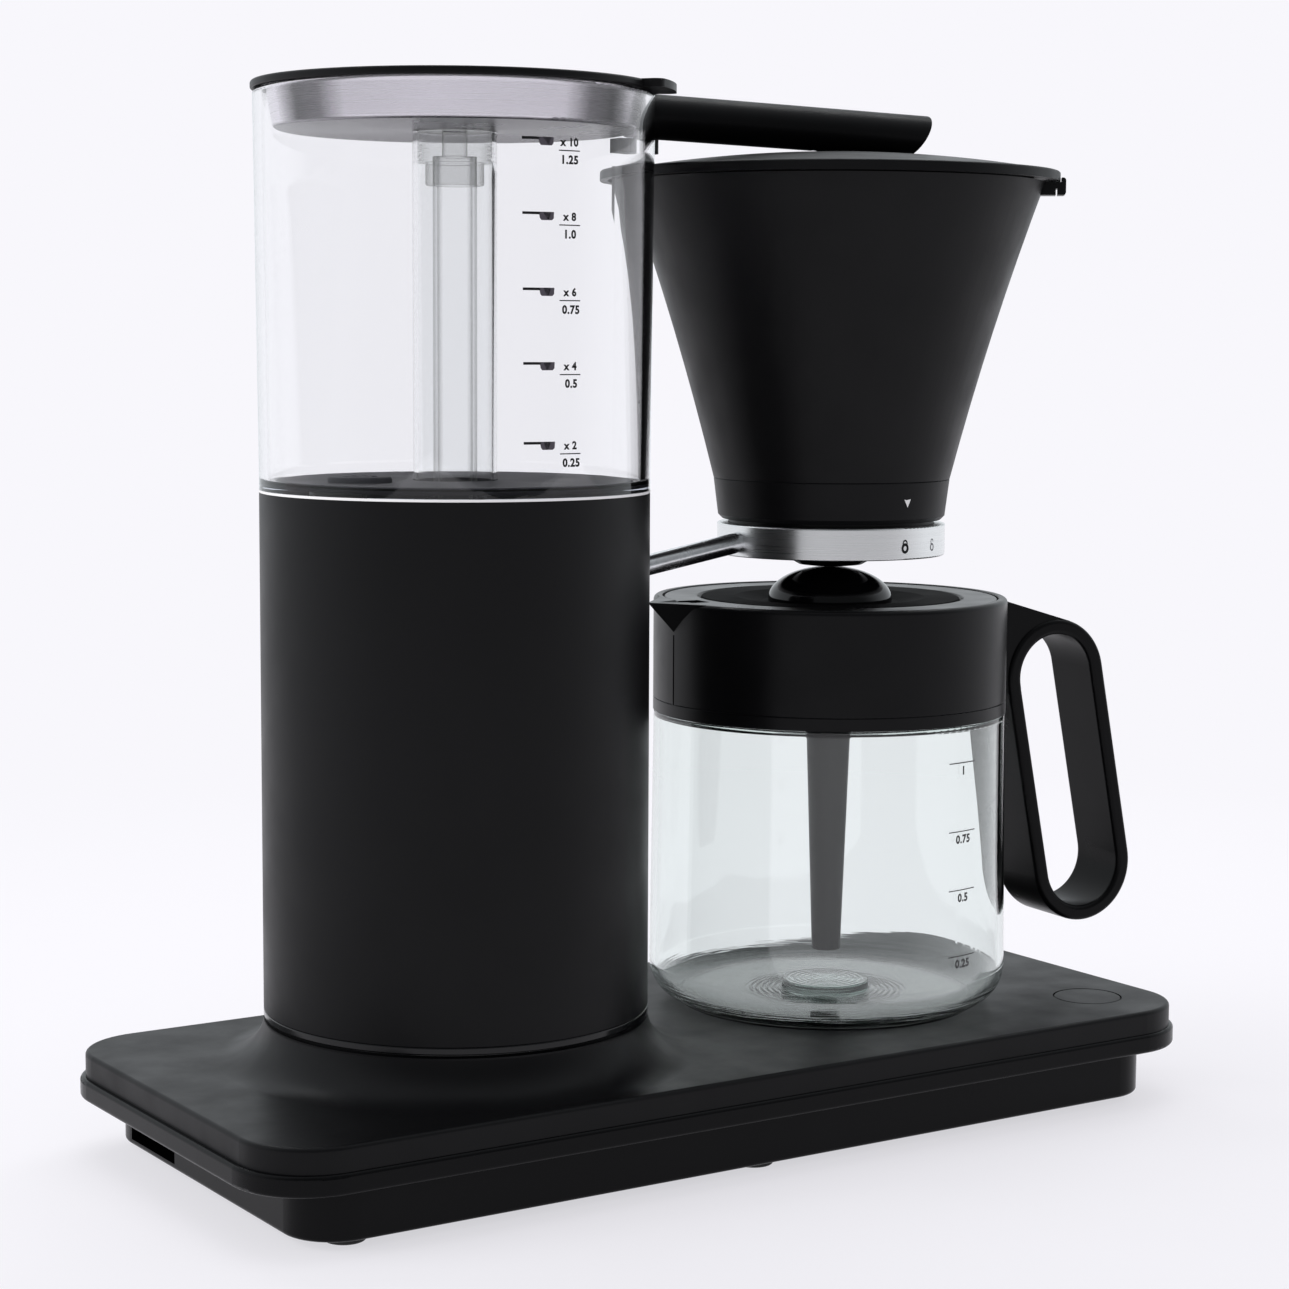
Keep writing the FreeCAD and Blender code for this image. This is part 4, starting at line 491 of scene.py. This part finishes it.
class Print:
    """Flat printed marks in millimetres, wrapped on an upright cylinder."""
    gap = 0.03
    thickness = 0.03
    digit_height = 0.7  # of a digit in the font, at size 1
    stroke_spread = 0.042

    def __init__(self, about, radius, turn, height):
        self.form = bmesh.new()
        self.about, self.radius, self.turn, self.height = about, radius, turn, height

    def place(self, across, up, out):
        turn = math.radians(self.turn) + across * mm / self.radius
        reach = self.radius + (self.gap + out) * mm
        return (self.about.x + reach * math.cos(turn), self.about.y + reach * math.sin(turn),
                self.height + up * mm)

    def solid(self, outline_points):
        """Prism over one outline."""
        low = [self.form.verts.new(self.place(u, v, 0.0)) for u, v in outline_points]
        high = [self.form.verts.new(self.place(u, v, self.thickness)) for u, v in outline_points]
        self.form.faces.new(high)
        self.form.faces.new(low[::-1])
        count = len(low)
        for index in range(count):
            after = (index + 1) % count
            self.form.faces.new((low[index], low[after], high[after], high[index]))

    def strip(self, left, right, low, high, pieces=6):
        """Level bar in short runs, so that it follows the cylinder."""
        columns = [left + (right - left) * index / pieces for index in range(pieces + 1)]
        self.solid([(u, low) for u in columns] + [(u, high) for u in reversed(columns)])

    def ring(self, middle, outer, inner, start=0.0, end=360.0, tall=1.0, steps=20):
        """Band between two arcs, stretched upwards where tall is above 1."""
        full = end - start >= 360.0
        turns = [math.radians(start + (end - start) * index / steps) for index in range(steps + 1)]
        corners = ((inner, 0.0), (outer, 0.0), (outer, self.thickness), (inner, self.thickness))
        rows = []
        for turn in (turns[:-1] if full else turns):
            across, up = math.cos(turn), math.sin(turn) * tall
            rows.append([self.form.verts.new(self.place(middle[0] + across * r, middle[1] + up * r, out))
                         for r, out in corners])
        count = len(rows)
        for index in range(count if full else count - 1):
            here, there = rows[index], rows[(index + 1) % count]
            for side in range(4):
                after = (side + 1) % 4
                self.form.faces.new((here[side], there[side], there[after], here[after]))
        if not full:
            self.form.faces.new(rows[0])
            self.form.faces.new(rows[-1][::-1])

    def text(self, words, middle, low, tall):
        """Number centred over a place, with its digits a given height."""
        curve = bpy.data.curves.new("number", "FONT")
        curve.body = words
        curve.extrude = 0.5
        curve.offset = self.stroke_spread
        curve.space_character = 1.1
        curve.resolution_u = 3
        holder = bpy.data.objects.new("number", curve)
        mesh = bpy.data.meshes.new_from_object(holder)
        scale = tall / self.digit_height
        left = min(vertex.co.x for vertex in mesh.vertices)
        right = max(vertex.co.x for vertex in mesh.vertices)
        first = len(self.form.verts)
        self.form.from_mesh(mesh)
        self.form.verts.ensure_lookup_table()
        for vertex in self.form.verts[first:]:
            flat = vertex.co.copy()
            vertex.co = self.place(middle + (flat.x - (left + right) / 2) * scale, low + flat.y * scale,
                                   (flat.z + curve.extrude) * self.thickness)
        bpy.data.objects.remove(holder)
        bpy.data.curves.remove(curve)
        bpy.data.meshes.remove(mesh)


# Rise in millimetres above the tank's or the glass's foot, and what is printed there.
tank_scale = ((13.7, "x 2", "0.25"), (37.5, "x 4", "0.5"), (59.6, "x 6", "0.75"), (82.0, "x 8", "1.0"),
              (104.0, "x 10", "1.25"))
jug_scale = ((23.8, "0.25"), (46.4, "0.5"), (66.4, "0.75"), (89.7, "1"))
# Where a mark's middle lies around its axis, in degrees from +X.
tank_turn, tank_turn_step, jug_turn, arrow_turn = -85.6, -0.26, -79.5, -87.1
# Lock icons: turn, drop below the ring's middle, size, stroke, the bow's lift, ink and slot.
locks = (("lock_closed", -87.5, 0.4, 1.15, 0.42, 0.0, black_ink, "matt_black"),
         ("lock_open", -66.2, 0.9, 0.85, 0.18, 0.6, grey_ink, "grey_plastic"))
# How far a tapered wall draws in over its height.
tank_taper, glass_taper, collar_taper = 1.1 * mm, 1.3 * mm, 1.6 * mm
# A measuring scoop's bowl from the side, from the right end of its foot, in millimetres.
scoop_right, scoop_low = -5.6, 1.3
scoop_bowl = ((-4.3, 0.0), (-0.7, 0.0), (-0.1, 0.6), (0.0, 2.45), (-5.1, 2.45), (-4.8, 0.7))


def between(height, low, low_value, high, high_value):
    """Straight run of a radius up a tapered wall."""
    share = (height - low) / (high - low)
    return low_value + (high_value - low_value) * share


def tank_radius(height):
    """Outer radius of the tank at a height."""
    mouth = span("water_tank").y / 2
    return between(height, tank_low, mouth - tank_taper, tank_high, mouth)


def glass_radius(height):
    """Outer radius of the jug's glass at a height."""
    widest = span("jug_glass").y / 2
    return between(height, glass_foot, widest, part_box("jug_lower_ring")[0].z, widest - glass_taper)


def collar_radius(height):
    """Outer radius of the holder's collar at a height."""
    low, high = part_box("holder_collar")
    widest = (high.y - low.y) / 2
    return between(height, low.z, widest - collar_taper, high.z, widest)


def tank_marks():
    """Cups, litres and scoops up the tank's front."""
    for index, (rise, cups, litres) in enumerate(tank_scale):
        height = tank_low + rise * mm
        radius = tank_radius(height)
        turn = tank_turn + tank_turn_step * index
        marks = Print(tower, radius, turn, height)
        marks.strip(left=-3.8, right=3.8, low=-0.17, high=0.17)
        marks.text(cups, middle=-0.1, low=1.4, tall=2.3)
        marks.text(litres, middle=0.3, low=-3.85, tall=2.4)
        marks.strip(left=-16.0, right=-10.4, low=2.95, high=3.75)
        piece("tank_number_%d" % index, marks.form, "stand", black_ink)
        scoop = Print(tower, radius, turn, height)
        scoop.solid([(scoop_right + across, scoop_low + up) for across, up in scoop_bowl])
        piece("tank_scoop_%d" % index, scoop.form, "stand", grey_ink)


def jug_marks():
    """Litres up the jug's front."""
    for index, (rise, litres) in enumerate(jug_scale):
        height = glass_foot + rise * mm
        marks = Print(jug, glass_radius(height), jug_turn, height)
        marks.strip(left=-6.6, right=6.6, low=-0.18, high=0.18, pieces=10)
        marks.text(litres, middle=0.3, low=-3.95, tall=2.7)
        piece("jug_number_%d" % index, marks.form, "jug", black_ink)


def lock(icon, size, stroke, lift):
    """Padlock: a ring for its body under a bow, which is open on its right where it is lifted."""
    body, bow, neck, foot = 1.35 * size, 0.95 * size, 0.5 + lift, -0.2
    icon.ring((0.0, -0.9 * size), body, body - 2 * stroke, tall=1.15)
    icon.ring((0.0, neck), bow, bow - stroke, start=0.0, end=180.0, tall=1.3, steps=12)
    for side in ((-1, 1) if lift == 0.0 else (-1,)):
        near, far = sorted((side * bow, side * (bow - stroke)))
        icon.solid([(near, foot), (far, foot), (far, neck), (near, neck)])


def turn_marks():
    """Arrow on the collar, with a closed and an open lock on the ring below it."""
    low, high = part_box("holder_collar")
    arrow_share = 0.54  # of the collar's height
    middle_z = low.z + arrow_share * (high.z - low.z)
    arrow = Print(jug, collar_radius(middle_z), arrow_turn, middle_z)
    arrow.solid([(-1.9, 1.7), (0.0, -2.0), (1.9, 1.7)])
    piece("collar_arrow", arrow.form, "holder", white_ink)
    low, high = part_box("filter_ring")
    ring_radius = (high.y - low.y) / 2
    for name, turn, drop, size, stroke, lift, ink, slot in locks:
        icon = Print(jug, ring_radius, turn, (low.z + high.z) / 2 - drop * mm)
        lock(icon, size, stroke, lift)
        piece(name, icon.form, "stand", ink)


button_coil()
tank_floor_painted_shade()
tank_foot_line()
tank_marks()
jug_marks()
turn_marks()


# ---------------------------------------------------------------- light
def world_light(level, plain, gloss_tint, front):
    """Even soft light. The camera sees a plain pale backdrop; so does clear material where it looks
    to the back, and past its edges it sees the darker room. Gloss sees a dark front."""
    world = bpy.data.worlds.new("studio")
    world.use_nodes = True
    tree = world.node_tree
    tree.nodes.clear()
    path = tree.nodes.new("ShaderNodeLightPath")
    place = tree.nodes.new("ShaderNodeTexCoord")
    dot = tree.nodes.new("ShaderNodeVectorMath")
    dot.operation = "DOT_PRODUCT"
    dot.inputs[1].default_value = front
    tree.links.new(place.outputs["Generated"], dot.inputs[0])

    def sheet(colour, strength=1.0):
        back = tree.nodes.new("ShaderNodeBackground")
        back.inputs["Color"].default_value = (*colour, 1.0)
        back.inputs["Strength"].default_value = strength
        return back

    def faded(back, start, end, end_level):
        """Backdrop that fades to a level towards the front."""
        fade = tree.nodes.new("ShaderNodeMapRange")
        fade.interpolation_type = "SMOOTHSTEP"
        for name, value in (("From Min", start), ("From Max", end), ("To Min", 1.0), ("To Max", end_level)):
            fade.inputs[name].default_value = value
        tree.links.new(dot.outputs["Value"], fade.inputs["Value"])
        tree.links.new(fade.outputs["Result"], back.inputs["Strength"])
        return back

    def either(ray, otherwise, shown):
        mix = tree.nodes.new("ShaderNodeMixShader")
        tree.links.new(path.outputs[ray], mix.inputs[0])
        tree.links.new(otherwise.outputs[0], mix.inputs[1])
        tree.links.new(shown.outputs[0], mix.inputs[2])
        return mix

    seen_by_gloss = faded(sheet(gloss_tint), start=-0.1, end=0.75, end_level=0.2)
    seen_through = faded(sheet(plain), start=-0.62, end=0.2, end_level=0.12)
    final = either("Is Glossy Ray", sheet(plain, level), seen_by_gloss)
    final = either("Is Transmission Ray", final, seen_through)
    final = either("Is Camera Ray", final, sheet(plain))
    out = tree.nodes.new("ShaderNodeOutputWorld")
    tree.links.new(final.outputs[0], out.inputs["Surface"])
    scene.world = world


def softbox(name, place, aim, width, height, watts, in_gloss=False):
    """Rectangular lamp aimed at a point, mirrored in gloss only where asked."""
    data = bpy.data.lights.new(name, "AREA")
    data.shape = "RECTANGLE"
    data.size = width
    data.size_y = height
    data.energy = watts
    lamp = bpy.data.objects.new(name, data)
    lamp.location = place
    lamp.rotation_euler = (Vector(aim) - Vector(place)).to_track_quat("-Z", "Y").to_euler()
    lamp.visible_glossy = in_gloss
    lamp.visible_transmission = False
    scene.collection.objects.link(lamp)


backdrop = (0.939, 0.93, 0.973)
view_yaw = 0.5798
dark_yaw = view_yaw - 0.26  # the dark front lies to the right of the camera
dark_front = (-math.sin(dark_yaw), -math.cos(dark_yaw), 0.0)
world_light(0.62, backdrop, gloss_tint=(0.9, 0.945, 0.985), front=dark_front)
middle = (base.x, 0.0, cad_high.z * 0.5)
behind = Vector((math.sin(view_yaw), math.cos(view_yaw), 0.0))
softbox("left_box", (-1.5, 0.35, 0.75), middle, width=0.9, height=1.3, watts=14.0)
softbox("right_box", (1.35, 0.75, 0.7), middle, width=0.7, height=1.3, watts=8.0)
softbox("top_box", (0.0, 0.1, 1.6), middle, width=1.2, height=1.2, watts=4.0)
rim_height, rim_back = 1.35, 0.75
rim_place = Vector((base.x, 0.0, rim_height)) + rim_back * behind
softbox("rim_strip", rim_place, middle, width=1.6, height=0.11, watts=5.0, in_gloss=True)


# ---------------------------------------------------------------- floor
def floor_sheet(colour, reach):
    """Large pale floor that keeps the object's shadow and fades into the backdrop."""
    mesh = bpy.data.meshes.new("floor")
    form = bmesh.new()
    bmesh.ops.create_grid(form, x_segments=8, y_segments=8, size=reach)
    form.to_mesh(mesh)
    form.free()
    floor = bpy.data.objects.new("floor", mesh)
    floor.location.z = cad_low.z - 0.2 * mm
    scene.collection.objects.link(floor)
    finish = Finish("floor_paper")
    finish.set(Specular_IOR_Level=0.0, Roughness=1.0)
    finish.colours(finish.noise(3.0), colour, colour)
    plain_light = finish.node("Emission")
    plain_light.inputs["Color"].default_value = (*backdrop, 1.0)
    mix = finish.node("MixShader")
    near_share, far_share = 0.66, 1.0  # of the backdrop's own light, near the object and away from it
    near, far = 0.3, 0.8
    share = finish.ranged(finish.length(finish.place), near_share, far_share, near, far)
    finish.link(share, mix.inputs[0])
    finish.link(finish.shader.outputs[0], mix.inputs[1])
    finish.link(plain_light.outputs[0], mix.inputs[2])
    finish.link(mix.outputs[0], finish.output.inputs["Surface"])
    mesh.materials.append(finish.material)


floor_sheet((0.87, 0.865, 0.895), reach=3.0)


# ---------------------------------------------------------------- camera
def view_camera(place, yaw, pitch, roll, lens):
    """Camera turned by yaw from +Y towards +X, tipped down by pitch, then rolled."""
    forward = Vector((math.sin(yaw) * math.cos(pitch), math.cos(yaw) * math.cos(pitch), -math.sin(pitch)))
    right = Vector((math.cos(yaw), -math.sin(yaw), 0.0))
    down = -right.cross(forward)
    across = math.cos(roll) * right + math.sin(roll) * down
    along = -math.sin(roll) * right + math.cos(roll) * down
    data = bpy.data.cameras.new("camera")
    data.lens = lens
    data.sensor_width = 36.0
    data.clip_start = 0.01
    data.clip_end = 20.0
    camera = bpy.data.objects.new("camera", data)
    turn = Matrix((across, -along, -forward)).transposed()
    camera.matrix_world = Matrix.Translation(place) @ turn.to_4x4()
    scene.collection.objects.link(camera)
    scene.camera = camera


camera_place = Vector((base.x - 0.5253, -0.7984, 0.2657))
view_camera(camera_place, view_yaw, pitch=0.1069, roll=-0.005, lens=79.887)

scene.view_settings.view_transform = "Standard"
bpy.context.view_layer.update()
